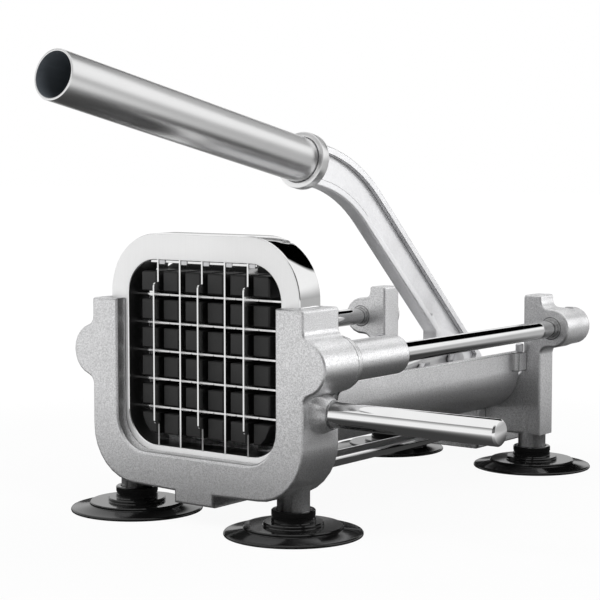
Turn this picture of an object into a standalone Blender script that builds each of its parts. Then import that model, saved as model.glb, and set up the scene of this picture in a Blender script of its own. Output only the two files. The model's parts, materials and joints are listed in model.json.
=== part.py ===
import math

import bmesh
import bpy
from mathutils import Matrix, Vector

# Lengths are in metres. Seen from the front, x is to the right, y to the rear and z up.
# Places are measured from the middle plane of the cutter, the front face of its front
# casting and the ground.

# Clearances and helpers shared by all pieces
FIT_GAP = 0.0003
CUT_OVERRUN = 0.004
WELD_DISTANCE = 0.000005
CAST_EDGE_RADIUS = 0.0012
FINE_EDGE_RADIUS = 0.0005
ROUND_STEPS = 24
SMALL_ROUND_STEPS = 12
TUBE_STEPS = 32
CORNER_STEPS = 5
BIG_CORNER_STEPS = 8
EAR_STEPS = 3
EDGE_STEPS = 2
HEXAGON_SIDES = 6
SHARP_ANGLE = math.radians(35)
FLAT_ANGLE = math.radians(1)
SMOOTH_ANGLE = math.radians(30)

# Blade grid: square cells
BLADE_PITCH = 0.0127
BLADE_THICKNESS = 0.0008
BLADE_DEPTH = 0.0064
BLADE_TAIL = 0.0030
BLADE_COUNT = 5
GRID_CENTRE_Z = 0.0733
BLADE_STAGGER = 0.0030
BLADE_STEP_INSET = 0.0095
BLADE_STEP_RADIUS = 0.0018

# Front casting
FRONT_BACK_WALL = 0.0046
FRONT_WALL = 0.0061
FRONT_HALF_WIDTH = 0.0594
FRONT_EAR_HEIGHT = 0.0120
FRONT_BOTTOM_Z = 0.0145
FRONT_CORNER_RADIUS = 0.0245
FRONT_SIDE_WALL = 0.0058
MOUTH_SIDE_WALL = 0.0146
MOUTH_BOTTOM_Z = 0.0296
MOUTH_RADIUS = 0.0160
TAB_HALF_WIDTH = 0.0112
TAB_BOTTOM_Z = 0.0087
TAB_ROOT_RISE = 0.0006
EAR_RADIUS = 0.0012
BOSS_RADIUS = 0.0120
BOSS_COLLAR = 0.0020
BOSS_COLLAR_STEP = 0.0006
BOSS_FILLET = 0.0040

# Blade frame, the arch that drops into the front casting
FRAME_BACK_MARGIN = 0.0013
FRAME_TOP_BORDER = 0.0120
FRAME_TOP_RADIUS = 0.0270
FRAME_SIDE_BORDER = 0.0102
FRAME_OPENING_HALF_HEIGHT = 0.0412
FRAME_OPENING_RADIUS = 0.0160

# Guide rods, tie rod and side bar
ROD_SEAT_WALL = 0.00085
ROD_Z = 0.0730
ROD_RADIUS = 0.00445
ROD_SEAT_DEPTH = 0.0220
TIE_ROD_RADIUS = 0.00385
TIE_ROD_Z = 0.0147
TIE_ROD_SEAT_DEPTH = 0.0140
TIE_NUT_HEX = 0.0115
TIE_NUT_HEIGHT = 0.0058
ROD_CHAMFER = 0.0006
SIDE_BAR_RADIUS = 0.0055
SIDE_BAR_REACH = 0.0866
SIDE_BAR_Z = 0.0530
SIDE_BAR_STUD_RADIUS = 0.0036
SIDE_BOSS_LENGTH = 0.0066
SIDE_BOSS_ROOT_RADIUS = 0.0100
SIDE_BOSS_END_RADIUS = 0.0071
SIDE_BOSS_SOCKET = 0.0056

# Trough
TROUGH_INSET = 0.0182
TROUGH_WALL = 0.0030
TROUGH_LIP_DROP = 0.0125
TROUGH_BOTTOM_Z = 0.0294
TROUGH_RADIUS = 0.0210
TROUGH_LENGTH = 0.1844
TROUGH_EDGE_RADIUS = 0.0007
TROUGH_LUG_REACH = 0.0042
TROUGH_LUG_LENGTH = 0.0076
TROUGH_LUG_HEIGHT = 0.0098
TROUGH_SCREW_RADIUS = 0.0012
TROUGH_SCREW_LENGTH = 0.0060
TROUGH_SCREW_HEAD_RADIUS = 0.0021
TROUGH_SCREW_HEAD_HEIGHT = 0.0042

# Rear casting
REAR_DEPTH = 0.0140
UPRIGHT_CLEARANCE = 0.0018
UPRIGHT_WIDTH = 0.0100
UPRIGHT_HEAD_HEIGHT = 0.0065
REAR_BOTTOM_Z = 0.0173
REAR_WEB_Z = 0.0480
REAR_INNER_RADIUS = 0.0050
REAR_BOSS_RADIUS = 0.0100
BARREL_LENGTH = 0.0100
BARREL_STEP = 0.0005
SLOT_HALF_WIDTH = 0.0130
CHEEK_THICKNESS = 0.0080
CHEEK_BOTTOM_Z = 0.0082
CHEEK_END_RADIUS = 0.0110
CROSS_WALL = 0.0072

# Lever pivot
PIVOT_SET_BACK = 0.0410
PIVOT_Z = 0.0178
PIVOT_RADIUS = 0.0040
PIVOT_BOSS_RADIUS = 0.0095
PIVOT_BOSS_HALF_WIDTH = 0.0080
PIVOT_HEX = 0.0130
PIVOT_HEAD_HEIGHT = 0.0050
PIVOT_WASHER_RADIUS = 0.0078

# Lever: a cast arm, seen from the side, with a collar for the handle tube
LEVER_WIDTH = 0.0200
LEVER_THICKNESS = 0.0080
LEVER_RIB = 0.0036
LEVER_WEB = 0.0034
LEVER_EDGE_RADIUS = 0.0009
LEVER_BEND_RADIUS = 0.0850
LEVER_SLOPE_DEG = 42.6
LEVER_BEND_REACH = 0.1366
LEVER_TOP_Z = 0.1507
LEVER_FOOT_REACH = 0.0114
LEVER_HEEL_REACH = 0.0174
HEEL_ANGLE_DEG = 20
LINK_PIN_REACH = 0.0520
LINK_PIN_Z = 0.0550
HANDLE_TILT_DEG = 11.8
COLLAR_REACH = 0.0359
COLLAR_WALL = 0.0028
COLLAR_LENGTH = 0.0050
COLLAR_RECESS = 0.0024
SPIGOT_LENGTH = 0.0280
TUBE_RADIUS = 0.0105
TUBE_WALL = 0.0011
TUBE_LENGTH = 0.1650
TUBE_RIM_CHAMFER = 0.0003

# Links between lever and carriage
LINK_RADIUS = 0.0052
LINK_THICKNESS = 0.0030
LINK_FRONT_Z = 0.0410
LINK_BOLT_RADIUS = 0.0030
LINK_BOLT_HEX = 0.0100
LINK_BOLT_HEAD = 0.0034
LINK_BOLT_TAIL = 0.0010
SPACER_SET_BACK = 0.0300
SPACER_BOLT_RADIUS = 0.0022
SPACER_BOLT_HEX = 0.0080
SPACER_RADIUS = 0.0034
LINK_FRONT_PIN_RADIUS = 0.0030

# Carriage and pusher block
SLEEVE_RADIUS = 0.0088
SLEEVE_LENGTH = 0.0397
BUSH_RADIUS = 0.0062
BUSH_LIP = 0.0008
CARRIAGE_PLATE = 0.0060
CARRIAGE_INSET = 0.0189
CARRIAGE_BASE_INSET = 0.0014
CARRIAGE_TOP_Z = 0.0980
CARRIAGE_RADIUS = 0.0100
CARRIAGE_ARM_HEIGHT = 0.0120
CARRIAGE_DRAFT = 0.0006
CARRIAGE_ARM_RIB = 0.0050
CARRIAGE_ARM_RIB_LENGTH = 0.0240
CARRIAGE_LUG_REACH = 0.0341
CARRIAGE_LUG_RADIUS = 0.0070
CARRIAGE_LUG_ROOT_Z = 0.0600
LUG_ROOT_ANGLE_DEG = 80
CARRIAGE_RIB_HALF_WIDTH = 0.0028
CARRIAGE_RIB_LENGTH = 0.0200
TROUGH_RUNNING_GAP = 0.0007
BLOCK_PLATE = 0.0050
BLOCK_INSET = 0.0149
BLOCK_TOP_GAP = 0.0015
BLOCK_TOP_RADIUS = 0.0150
BLOCK_REST_GAP = 0.0006
PEG_SIZE = 0.0090
PEG_FACE_Y = 0.0075
PEG_EDGE = 0.0006
PEG_TOP_RADIUS = 0.0060
PEG_TOP_GAP = 0.0033
PEG_BASE_GAP = 0.0010
PEG_SIDE_GAP = 0.0005
PUSHER_SCREW_RADIUS = 0.0020
PUSHER_SCREW_LENGTH = 0.0110
PUSHER_SCREW_HEAD_RADIUS = 0.0037
PUSHER_SCREW_HEAD_HEIGHT = 0.0024

# Suction feet
FOOT_INSET = 0.0146
FOOT_RADIUS = 0.03025
FOOT_RIM_THICKNESS = 0.0011
FOOT_REST_WIDTH = 0.0030
FOOT_HOLLOW_Z = 0.0016
FOOT_DISC_Z = 0.0026
FOOT_STEP_RADIUS = 0.0215
FOOT_STEP_Z = 0.0040
FOOT_HUB_RADIUS = 0.0130
FOOT_HUB_Z = 0.0056
FOOT_COLLAR_RADIUS = 0.0095
FOOT_COLLAR_Z = 0.0108
FOOT_SOCKET_Z = 0.0058
POST_RADIUS = 0.0071
POST_OVERLAP = 0.0120
STUD_RADIUS = 0.0020
STUD_BOTTOM_Z = 0.0036
STUD_LENGTH = 0.0140

# Grub screws that hold the guide rods
GRUB_RADIUS = 0.0020
GRUB_LENGTH = 0.0050
GRUB_SET_BACK = 0.0035

# Places worked out from the sizes above: blade frame and front casting
FRAME_THICKNESS = 2 * BLADE_DEPTH + 2 * FIT_GAP + FRAME_BACK_MARGIN
FRAME_Y = FRONT_WALL + FIT_GAP
FRAME_BACK_Y = FRAME_Y + FRAME_THICKNESS
FRAME_HALF_WIDTH = FRONT_HALF_WIDTH - FRONT_SIDE_WALL - FIT_GAP
FRAME_BOTTOM_Z = FRONT_BOTTOM_Z + FRONT_SIDE_WALL + FIT_GAP
FRAME_OPENING_HALF_WIDTH = FRAME_HALF_WIDTH - FRAME_SIDE_BORDER
FRAME_OPENING_TOP_Z = GRID_CENTRE_Z + FRAME_OPENING_HALF_HEIGHT
FRAME_OPENING_BOTTOM_Z = GRID_CENTRE_Z - FRAME_OPENING_HALF_HEIGHT
FRAME_TOP_Z = FRAME_OPENING_TOP_Z + FRAME_TOP_BORDER
SLOT_BACK_Y = FRAME_BACK_Y + FIT_GAP
SLOT_RADIUS = FRONT_CORNER_RADIUS - FRONT_SIDE_WALL
MOUTH_HALF_WIDTH = FRONT_HALF_WIDTH - MOUTH_SIDE_WALL
FRONT_DEPTH = SLOT_BACK_Y + FRONT_BACK_WALL
FRONT_MIDDLE_Y = FRONT_DEPTH / 2
FRONT_TOP_Z = ROD_Z + BOSS_RADIUS + FRONT_EAR_HEIGHT
GRID_HALF = (BLADE_COUNT - 1) / 2
PEG_COUNT = BLADE_COUNT + 1
PEG_HALF = (PEG_COUNT - 1) / 2

# Places of the rods, the trough and the rear casting
ROD_X = FRAME_HALF_WIDTH + FIT_GAP + ROD_SEAT_WALL + ROD_RADIUS
ROD_START_Y = FRONT_DEPTH + BOSS_COLLAR - ROD_SEAT_DEPTH
FRONT_GRUB_Y = FRONT_DEPTH - GRUB_SET_BACK
SIDE_BAR_START_X = FRONT_HALF_WIDTH + SIDE_BOSS_LENGTH - SIDE_BOSS_SOCKET
SIDE_BAR_END_X = FRONT_HALF_WIDTH + SIDE_BAR_REACH
TROUGH_HALF_WIDTH = FRONT_HALF_WIDTH - TROUGH_INSET
TROUGH_LIP_Z = ROD_Z - TROUGH_LIP_DROP
TROUGH_LUG_TOP_Z = TROUGH_LIP_Z - TROUGH_EDGE_RADIUS / 2
TROUGH_INNER_HALF = TROUGH_HALF_WIDTH - TROUGH_WALL
TROUGH_INNER_Z = TROUGH_BOTTOM_Z + TROUGH_WALL
TROUGH_INNER_RADIUS = TROUGH_RADIUS - TROUGH_WALL
REAR_Y = FRONT_DEPTH + FIT_GAP + TROUGH_LENGTH + FIT_GAP
REAR_BACK_Y = REAR_Y + REAR_DEPTH
BARREL_END_Y = REAR_BACK_Y + BARREL_LENGTH
REAR_GRUB_Y = BARREL_END_Y - GRUB_LENGTH
UPRIGHT_INNER_X = TROUGH_HALF_WIDTH + UPRIGHT_CLEARANCE
UPRIGHT_OUTER_X = UPRIGHT_INNER_X + UPRIGHT_WIDTH
UPRIGHT_TOP_Z = ROD_Z + REAR_BOSS_RADIUS + UPRIGHT_HEAD_HEIGHT
FOOT_X = FRONT_HALF_WIDTH - FOOT_INSET
FOOT_REAR_Y = REAR_Y + REAR_DEPTH / 2

# Places of the carriage, the lever and the links
RUNNER_HALF = TROUGH_INNER_HALF - TROUGH_RUNNING_GAP
RUNNER_BASE_Z = TROUGH_INNER_Z + TROUGH_RUNNING_GAP
RUNNER_RADIUS = TROUGH_INNER_RADIUS - TROUGH_RUNNING_GAP
SHOULDER_Z = TROUGH_LIP_Z + TROUGH_RUNNING_GAP
CARRIAGE_HALF_WIDTH = ROD_X - CARRIAGE_INSET
CARRIAGE_BASE_HALF_WIDTH = TROUGH_INNER_HALF - CARRIAGE_BASE_INSET
BLOCK_HALF_WIDTH = ROD_X - BLOCK_INSET
BLOCK_TOP_Z = FRAME_OPENING_TOP_Z - BLOCK_TOP_GAP
BLOCK_FRONT_Y = FRONT_DEPTH + BLOCK_REST_GAP
BLOCK_BACK_Y = BLOCK_FRONT_Y + BLOCK_PLATE
PLATE_FRONT_Y = BLOCK_BACK_Y + FIT_GAP
PLATE_BACK_Y = PLATE_FRONT_Y + CARRIAGE_PLATE
SLEEVE_FRONT_Y = FRONT_DEPTH + BOSS_COLLAR + FIT_GAP
PLATE_MIDDLE_Y = PLATE_BACK_Y - CARRIAGE_PLATE / 2
PIVOT_Y = REAR_Y + PIVOT_SET_BACK
LINK_PIN_Y = PIVOT_Y - LINK_PIN_REACH
LINK_FRONT_Y = PLATE_BACK_Y + CARRIAGE_LUG_REACH
LEVER_TOP_Y = PIVOT_Y - LEVER_BEND_REACH
LEVER_FOOT_Y = LINK_PIN_Y - LEVER_FOOT_REACH
LEVER_HEEL_Y = PIVOT_Y - LEVER_HEEL_REACH
LEVER_HALF = LEVER_THICKNESS / 2
LINK_INNER_X = LEVER_HALF + FIT_GAP
LINK_OUTER_X = LINK_INNER_X + LINK_THICKNESS
CHEEK_OUTER_X = SLOT_HALF_WIDTH + CHEEK_THICKNESS
CHEEK_SEAT_X = CHEEK_OUTER_X + FIT_GAP
LINK_SEAT_X = LINK_OUTER_X + FIT_GAP
TUBE_BORE = TUBE_RADIUS - TUBE_WALL
COLLAR_RADIUS = TUBE_RADIUS + COLLAR_WALL
COLLAR_Y = LEVER_TOP_Y - COLLAR_REACH
HANDLE_TILT = math.radians(HANDLE_TILT_DEG)
LEVER_SLOPE = math.radians(LEVER_SLOPE_DEG)
LINK_DIRECTION = Vector((0, LINK_FRONT_Y - LINK_PIN_Y, LINK_FRONT_Z - LINK_PIN_Z)).normalized()
TUBE_DIRECTION = Vector((0, -math.cos(HANDLE_TILT), math.sin(HANDLE_TILT)))
COLLAR_Z = LEVER_TOP_Z + (LEVER_TOP_Y - COLLAR_Y) * math.tan(HANDLE_TILT)
COLLAR_CENTRE = Vector((0, COLLAR_Y, COLLAR_Z))
TUBE_START = COLLAR_CENTRE + TUBE_DIRECTION * (COLLAR_LENGTH / 2 - COLLAR_RECESS + FIT_GAP)
TUBE_END = TUBE_START + TUBE_DIRECTION * TUBE_LENGTH

# The world origin is on the ground, under the middle of the whole cutter
LEFT_END_X = -FOOT_X - FOOT_RADIUS * math.cos(math.pi / ROUND_STEPS)
FRONT_END_Y = TUBE_END.y - TUBE_RADIUS * math.sin(HANDLE_TILT)
REAR_END_Y = PIVOT_Y + CHEEK_END_RADIUS
MIDDLE = Vector(((LEFT_END_X + SIDE_BAR_END_X) / 2, (FRONT_END_Y + REAR_END_Y) / 2, 0))

X_AXIS = Vector((1, 0, 0))
Y_AXIS = Vector((0, 1, 0))
Z_AXIS = Vector((0, 0, 1))


def clear_scene():
    for item in list(bpy.data.objects):
        bpy.data.objects.remove(item, do_unlink=True)


def finish_material(name, color, roughness, metallic):
    material = bpy.data.materials.new(name)
    material.use_nodes = True
    shader = material.node_tree.nodes["Principled BSDF"]
    shader.inputs["Base Color"].default_value = (*color, 1)
    shader.inputs["Roughness"].default_value = roughness
    shader.inputs["Metallic"].default_value = metallic
    return material


# Drawing helpers: an outline is a list of points in a plane
def arc(centre, radius, start_deg, end_deg, steps=CORNER_STEPS):
    points = []
    for step in range(steps + 1):
        angle = math.radians(start_deg + (end_deg - start_deg) * step / steps)
        points.append((centre[0] + radius * math.cos(angle), centre[1] + radius * math.sin(angle)))
    return points


def fillet(before, corner, after, radius, steps=CORNER_STEPS):
    here = Vector(corner)
    back = (Vector(before) - here).normalized()
    ahead = (Vector(after) - here).normalized()
    half_angle = back.angle(ahead) / 2
    reach = radius / math.tan(half_angle)
    middle = here + (back + ahead).normalized() * (radius / math.sin(half_angle))
    start = here + back * reach - middle
    end = here + ahead * reach - middle
    turn = start.angle_signed(end)
    points = []
    for step in range(steps + 1):
        spoke = start.copy()
        spoke.rotate(Matrix.Rotation(-turn * step / steps, 2))
        points.append(tuple(middle + spoke))
    return points


# Corners are (a, b) or (a, b, radius).
def rounded(corners, steps=CORNER_STEPS):
    points = []
    for index, corner in enumerate(corners):
        before = corners[index - 1][:2]
        after = corners[(index + 1) % len(corners)][:2]
        if len(corner) == 3:
            points += fillet(before, corner[:2], after, corner[2], steps)
        else:
            points.append(tuple(corner))
    return points


# The right half of an outline, drawn from top to bottom, and its left half.
def mirrored(right_side):
    return right_side + [(-a, b) for a, b in reversed(right_side)]


# A round boss on an upright wall, from top to bottom, with concave fillets.
def bulge(wall_x, centre, radius, fillet_radius):
    across = wall_x + fillet_radius - centre[0]
    rise = math.sqrt((radius + fillet_radius) ** 2 - across ** 2)
    lean = math.degrees(math.atan2(rise, across))
    upper = arc((centre[0] + across, centre[1] + rise), fillet_radius, 180, 180 + lean, EAR_STEPS)
    face = arc(centre, radius, lean, -lean, 2 * CORNER_STEPS)
    lower = arc((centre[0] + across, centre[1] - rise), fillet_radius, 180 - lean, 180, EAR_STEPS)
    return upper[:-1] + face + lower[1:]


# Solid helpers
def collection(name):
    group = bpy.data.collections.new(name)
    bpy.context.scene.collection.children.link(group)
    return group


def new_object(name, mesh):
    item = bpy.data.objects.new(name, mesh)
    bpy.context.scene.collection.objects.link(item)
    return item


def mesh_object(name, shape):
    bmesh.ops.remove_doubles(shape, verts=shape.verts, dist=WELD_DISTANCE)
    bmesh.ops.recalc_face_normals(shape, faces=shape.faces)
    mesh = bpy.data.meshes.new(name)
    shape.to_mesh(mesh)
    shape.free()
    return new_object(name, mesh)


def evaluated_mesh(item):
    graph = bpy.context.evaluated_depsgraph_get()
    return bpy.data.meshes.new_from_object(item.evaluated_get(graph))


def apply_modifiers(item):
    bpy.context.view_layer.update()
    mesh = evaluated_mesh(item)
    item.modifiers.clear()
    item.data = mesh
    return item


PLANES = {
    "front": Matrix(((1, 0, 0, 0), (0, 0, -1, 0), (0, 1, 0, 0), (0, 0, 0, 1))),
    "side": Matrix(((0, 0, 1, 0), (1, 0, 0, 0), (0, 1, 0, 0), (0, 0, 0, 1))),
}
PLANE_NORMALS = {"front": Y_AXIS, "side": X_AXIS}


# A flat outline, with any holes as further loops, made solid from start to end.
def outline_solid(loops, plane, start, end):
    curve = bpy.data.curves.new("outline", "CURVE")
    curve.dimensions = "2D"
    curve.fill_mode = "BOTH"
    curve.extrude = (end - start) / 2
    for points in loops:
        spline = curve.splines.new("POLY")
        spline.points.add(len(points) - 1)
        for point, (a, b) in zip(spline.points, points):
            point.co = (a, b, 0, 1)
        spline.use_cyclic_u = True
    item = new_object("outline", curve)
    bpy.context.view_layer.update()
    shape = bmesh.new()
    shape.from_mesh(evaluated_mesh(item))
    bpy.data.objects.remove(item, do_unlink=True)
    bmesh.ops.remove_doubles(shape, verts=shape.verts, dist=WELD_DISTANCE)
    if len(loops) == 1:
        whole_faces(shape)
    middle = Matrix.Translation(PLANE_NORMALS[plane] * ((start + end) / 2))
    bmesh.ops.transform(shape, matrix=middle @ PLANES[plane], verts=shape.verts)
    return mesh_object("outline", shape)


# Make each flat end of an outline one face.
def whole_faces(shape):
    flat = [face for face in shape.faces if abs(face.normal.z) > math.cos(SHARP_ANGLE)]
    bmesh.ops.delete(shape, geom=flat, context="FACES_ONLY")
    loose = [edge for edge in shape.edges if not edge.link_faces]
    bmesh.ops.delete(shape, geom=loose, context="EDGES")
    rims = [edge for edge in shape.edges if edge.is_boundary]
    bmesh.ops.holes_fill(shape, edges=rims, sides=0)


def round_edges(item, width, segments=EDGE_STEPS):
    bevel = item.modifiers.new("round", "BEVEL")
    bevel.width = width
    bevel.segments = segments
    bevel.limit_method = "ANGLE"
    bevel.angle_limit = SHARP_ANGLE
    return apply_modifiers(item)


# Round the rims of the flat faces that lie square to an axis at the given planes.
def round_rims(item, axis, planes, width, segments=EDGE_STEPS):
    shape = bmesh.new()
    shape.from_mesh(item.data)
    bmesh.ops.dissolve_limit(shape, angle_limit=FLAT_ANGLE, verts=shape.verts, edges=shape.edges)
    rims = []
    for edge in shape.edges:
        flat = any(all(abs(end.co[axis] - plane) < WELD_DISTANCE for end in edge.verts)
                   for plane in planes)
        if flat and len(edge.link_faces) == 2 and edge.calc_face_angle(0) > SHARP_ANGLE:
            rims.append(edge)
    bmesh.ops.bevel(shape, geom=rims, offset=width, segments=segments, affect="EDGES",
                    profile=0.5, material=-1, clamp_overlap=True)
    bpy.data.objects.remove(item, do_unlink=True)
    return mesh_object("rounded", shape)


def box(low, high):
    shape = bmesh.new()
    bmesh.ops.create_cube(shape, size=1)
    size = Vector(high) - Vector(low)
    middle = (Vector(high) + Vector(low)) / 2
    bmesh.ops.scale(shape, vec=size, verts=shape.verts)
    bmesh.ops.translate(shape, vec=middle, verts=shape.verts)
    return mesh_object("box", shape)


# Turn the z axis to a direction, with the flats of a round shape square to the others.
def along(direction, steps):
    turn = Z_AXIS.rotation_difference(Vector(direction)).to_matrix().to_4x4()
    return turn @ Matrix.Rotation(math.pi / steps, 4, "Z")


def cone(start, end, start_radius, end_radius, steps=ROUND_STEPS):
    start = Vector(start)
    end = Vector(end)
    shape = bmesh.new()
    bmesh.ops.create_cone(shape, cap_ends=True, segments=steps, radius1=start_radius,
                          radius2=end_radius, depth=(end - start).length)
    place = Matrix.Translation((start + end) / 2) @ along(end - start, steps)
    bmesh.ops.transform(shape, matrix=place, verts=shape.verts)
    return mesh_object("cone", shape)


def cylinder(start, end, radius, steps=ROUND_STEPS):
    return cone(start, end, radius, radius, steps)


# A profile of (radius, height) points, down its outer side, turned about an axis.
def turned(profile, base, direction, steps=ROUND_STEPS, closed=True):
    mesh = bpy.data.meshes.new("profile")
    edges = [(index, index + 1) for index in range(len(profile) - 1)]
    if closed:
        edges.append((len(profile) - 1, 0))
    mesh.from_pydata([(radius, 0, height) for radius, height in profile], edges, [])
    item = new_object("turned", mesh)
    screw = item.modifiers.new("turn", "SCREW")
    screw.axis = "Z"
    screw.steps = steps
    screw.render_steps = steps
    screw.use_merge_vertices = True
    screw.merge_threshold = WELD_DISTANCE
    apply_modifiers(item)
    shape = bmesh.new()
    shape.from_mesh(item.data)
    bpy.data.objects.remove(item, do_unlink=True)
    place = Matrix.Translation(Vector(base)) @ along(direction, steps)
    bmesh.ops.transform(shape, matrix=place, verts=shape.verts)
    return mesh_object("turned", shape)


def ring(start, direction, length, bore, radius, steps=SMALL_ROUND_STEPS, chamfer=0):
    profile = [(bore, length), (radius - chamfer, length)]
    if chamfer:
        profile += [(radius, length - chamfer), (radius, chamfer)]
    profile += [(radius - chamfer, 0), (bore, 0)]
    return turned(profile, start, direction, steps)


def rod(start, end, radius, chamfer=ROD_CHAMFER, steps=ROUND_STEPS):
    start = Vector(start)
    end = Vector(end)
    length = (end - start).length
    profile = [(0, length), (radius - chamfer, length), (radius, length - chamfer),
               (radius, chamfer), (radius - chamfer, 0), (0, 0)]
    return turned(profile, start, end - start, steps, closed=False)


# A closed ring of points: a circle, or a polygon where the steps are few.
def circle(centre, radius, steps=SMALL_ROUND_STEPS):
    return arc(centre, radius, 0, 360 - 360 / steps, steps - 1)


# A hexagon prism, with a round bore where one is given.
def hexagon(centre, start, end, across_flats, bore=0, plane="side", bore_steps=SMALL_ROUND_STEPS):
    corner_radius = across_flats / 2 / math.cos(math.pi / HEXAGON_SIDES)
    loops = [circle(centre, corner_radius, HEXAGON_SIDES)]
    if bore:
        loops.append(circle(centre, bore, bore_steps))
    return outline_solid(loops, plane, start, end)


def combine(target, tool, operation):
    boolean = target.modifiers.new(operation.lower(), "BOOLEAN")
    boolean.operation = operation
    boolean.solver = "EXACT"
    boolean.object = tool
    apply_modifiers(target)
    bpy.data.objects.remove(tool, do_unlink=True)
    shape = bmesh.new()
    shape.from_mesh(target.data)
    bmesh.ops.remove_doubles(shape, verts=shape.verts, dist=WELD_DISTANCE)
    bmesh.ops.dissolve_degenerate(shape, edges=shape.edges, dist=WELD_DISTANCE)
    shape.to_mesh(target.data)
    shape.free()
    return target


def join(target, *tools):
    for tool in tools:
        combine(target, tool, "UNION")
    return target


def cut(target, *tools):
    for tool in tools:
        combine(target, tool, "DIFFERENCE")
    return target


def sides():
    return {"left": -1, "right": 1}


def feet_places():
    return {"front_left": (-FOOT_X, FRONT_MIDDLE_Y), "front_right": (FOOT_X, FRONT_MIDDLE_Y),
            "rear_left": (-FOOT_X, FOOT_REAR_Y), "rear_right": (FOOT_X, FOOT_REAR_Y)}


# Front casting: a U of cast aluminium that holds the blade frame in a slot
# A U-shaped space, open at the top.
def open_u(half_width, bottom, radius, top):
    return rounded([(-half_width, top), (-half_width, bottom, radius),
                    (half_width, bottom, radius), (half_width, top)], BIG_CORNER_STEPS)


def front_outline():
    right = rounded([(0, FRONT_TOP_Z), (FRONT_HALF_WIDTH, FRONT_TOP_Z, EAR_RADIUS),
                     (FRONT_HALF_WIDTH, ROD_Z)], EAR_STEPS)[1:-1]
    right += bulge(FRONT_HALF_WIDTH, (ROD_X, ROD_Z), BOSS_RADIUS, BOSS_FILLET)
    corner = (FRONT_HALF_WIDTH - FRONT_CORNER_RADIUS, FRONT_BOTTOM_Z + FRONT_CORNER_RADIUS)
    right += arc(corner, FRONT_CORNER_RADIUS, 0, -90, BIG_CORNER_STEPS)
    right += [(TAB_HALF_WIDTH, FRONT_BOTTOM_Z - TAB_ROOT_RISE), (TAB_HALF_WIDTH, TAB_BOTTOM_Z)]
    return mirrored(right)


def post_solid(place, top):
    return cylinder((*place, FOOT_SOCKET_Z + FIT_GAP), (*place, top), POST_RADIUS)


def stud_bore(place):
    return cylinder((*place, STUD_BOTTOM_Z - FIT_GAP),
                    (*place, STUD_BOTTOM_Z + STUD_LENGTH + FIT_GAP), STUD_RADIUS + FIT_GAP,
                    SMALL_ROUND_STEPS)


def bar_cylinder(start_x, end_x, radius, steps=ROUND_STEPS):
    return cylinder((start_x, FRONT_MIDDLE_Y, SIDE_BAR_Z), (end_x, FRONT_MIDDLE_Y, SIDE_BAR_Z),
                    radius, steps)


# The U with its two front-to-back openings, before the bosses go on.
def front_body():
    high = FRONT_TOP_Z + CUT_OVERRUN
    body = outline_solid([front_outline()], "front", 0, FRONT_DEPTH)
    trough_way = open_u(TROUGH_INNER_HALF, TROUGH_INNER_Z, TROUGH_INNER_RADIUS, high)
    mouth = open_u(MOUTH_HALF_WIDTH, MOUTH_BOTTOM_Z, MOUTH_RADIUS, high)
    cut(body, outline_solid([trough_way], "front", -CUT_OVERRUN, FRONT_DEPTH + CUT_OVERRUN),
        outline_solid([mouth], "front", -CUT_OVERRUN, FRAME_Y + FRAME_THICKNESS / 2))
    return round_rims(body, 1, (0, FRONT_DEPTH), CAST_EDGE_RADIUS)


def front_casting():
    body = front_body()
    boss_end = FRONT_DEPTH + BOSS_COLLAR
    boss_tip = FRONT_HALF_WIDTH + SIDE_BOSS_LENGTH
    high = FRONT_TOP_Z + CUT_OVERRUN
    for side in sides().values():
        x = side * ROD_X
        join(body, cylinder((x, FRONT_DEPTH - BOSS_RADIUS, ROD_Z), (x, boss_end, ROD_Z),
                            BOSS_RADIUS - BOSS_COLLAR_STEP),
             post_solid((side * FOOT_X, FRONT_MIDDLE_Y), FRONT_BOTTOM_Z + POST_OVERLAP))
    join(body, cone((FRONT_HALF_WIDTH - FRONT_SIDE_WALL / 2, FRONT_MIDDLE_Y, SIDE_BAR_Z),
                    (boss_tip, FRONT_MIDDLE_Y, SIDE_BAR_Z),
                    SIDE_BOSS_ROOT_RADIUS, SIDE_BOSS_END_RADIUS))
    slot = open_u(FRAME_HALF_WIDTH + FIT_GAP, FRAME_BOTTOM_Z - FIT_GAP, SLOT_RADIUS, high)
    cut(body, outline_solid([slot], "front", FRONT_WALL, SLOT_BACK_Y))
    for side in sides().values():
        x = side * ROD_X
        cut(body, cylinder((x, ROD_START_Y - FIT_GAP, ROD_Z), (x, boss_end + CUT_OVERRUN, ROD_Z),
                           ROD_RADIUS + FIT_GAP),
            cylinder((x, FRONT_GRUB_Y, ROD_Z - BOSS_RADIUS - CUT_OVERRUN), (x, FRONT_GRUB_Y, ROD_Z),
                     GRUB_RADIUS + FIT_GAP, SMALL_ROUND_STEPS),
            stud_bore((side * FOOT_X, FRONT_MIDDLE_Y)))
    cut(body, bar_cylinder(SIDE_BAR_START_X, boss_tip + CUT_OVERRUN, SIDE_BAR_RADIUS + FIT_GAP),
        bar_cylinder(FRAME_HALF_WIDTH - CUT_OVERRUN, SIDE_BAR_START_X + CUT_OVERRUN,
                     SIDE_BAR_STUD_RADIUS + FIT_GAP))
    return cut(body, cylinder((0, FRONT_DEPTH - TIE_ROD_SEAT_DEPTH - FIT_GAP, TIE_ROD_Z),
                              (0, FRONT_DEPTH + CUT_OVERRUN, TIE_ROD_Z), TIE_ROD_RADIUS + FIT_GAP))


# Blade frame and blades
def frame_outline():
    bottom_radius = SLOT_RADIUS - FIT_GAP
    return rounded([(-FRAME_HALF_WIDTH, FRAME_TOP_Z, FRAME_TOP_RADIUS),
                    (-FRAME_HALF_WIDTH, FRAME_BOTTOM_Z, bottom_radius),
                    (FRAME_HALF_WIDTH, FRAME_BOTTOM_Z, bottom_radius),
                    (FRAME_HALF_WIDTH, FRAME_TOP_Z, FRAME_TOP_RADIUS)], BIG_CORNER_STEPS)


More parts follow.
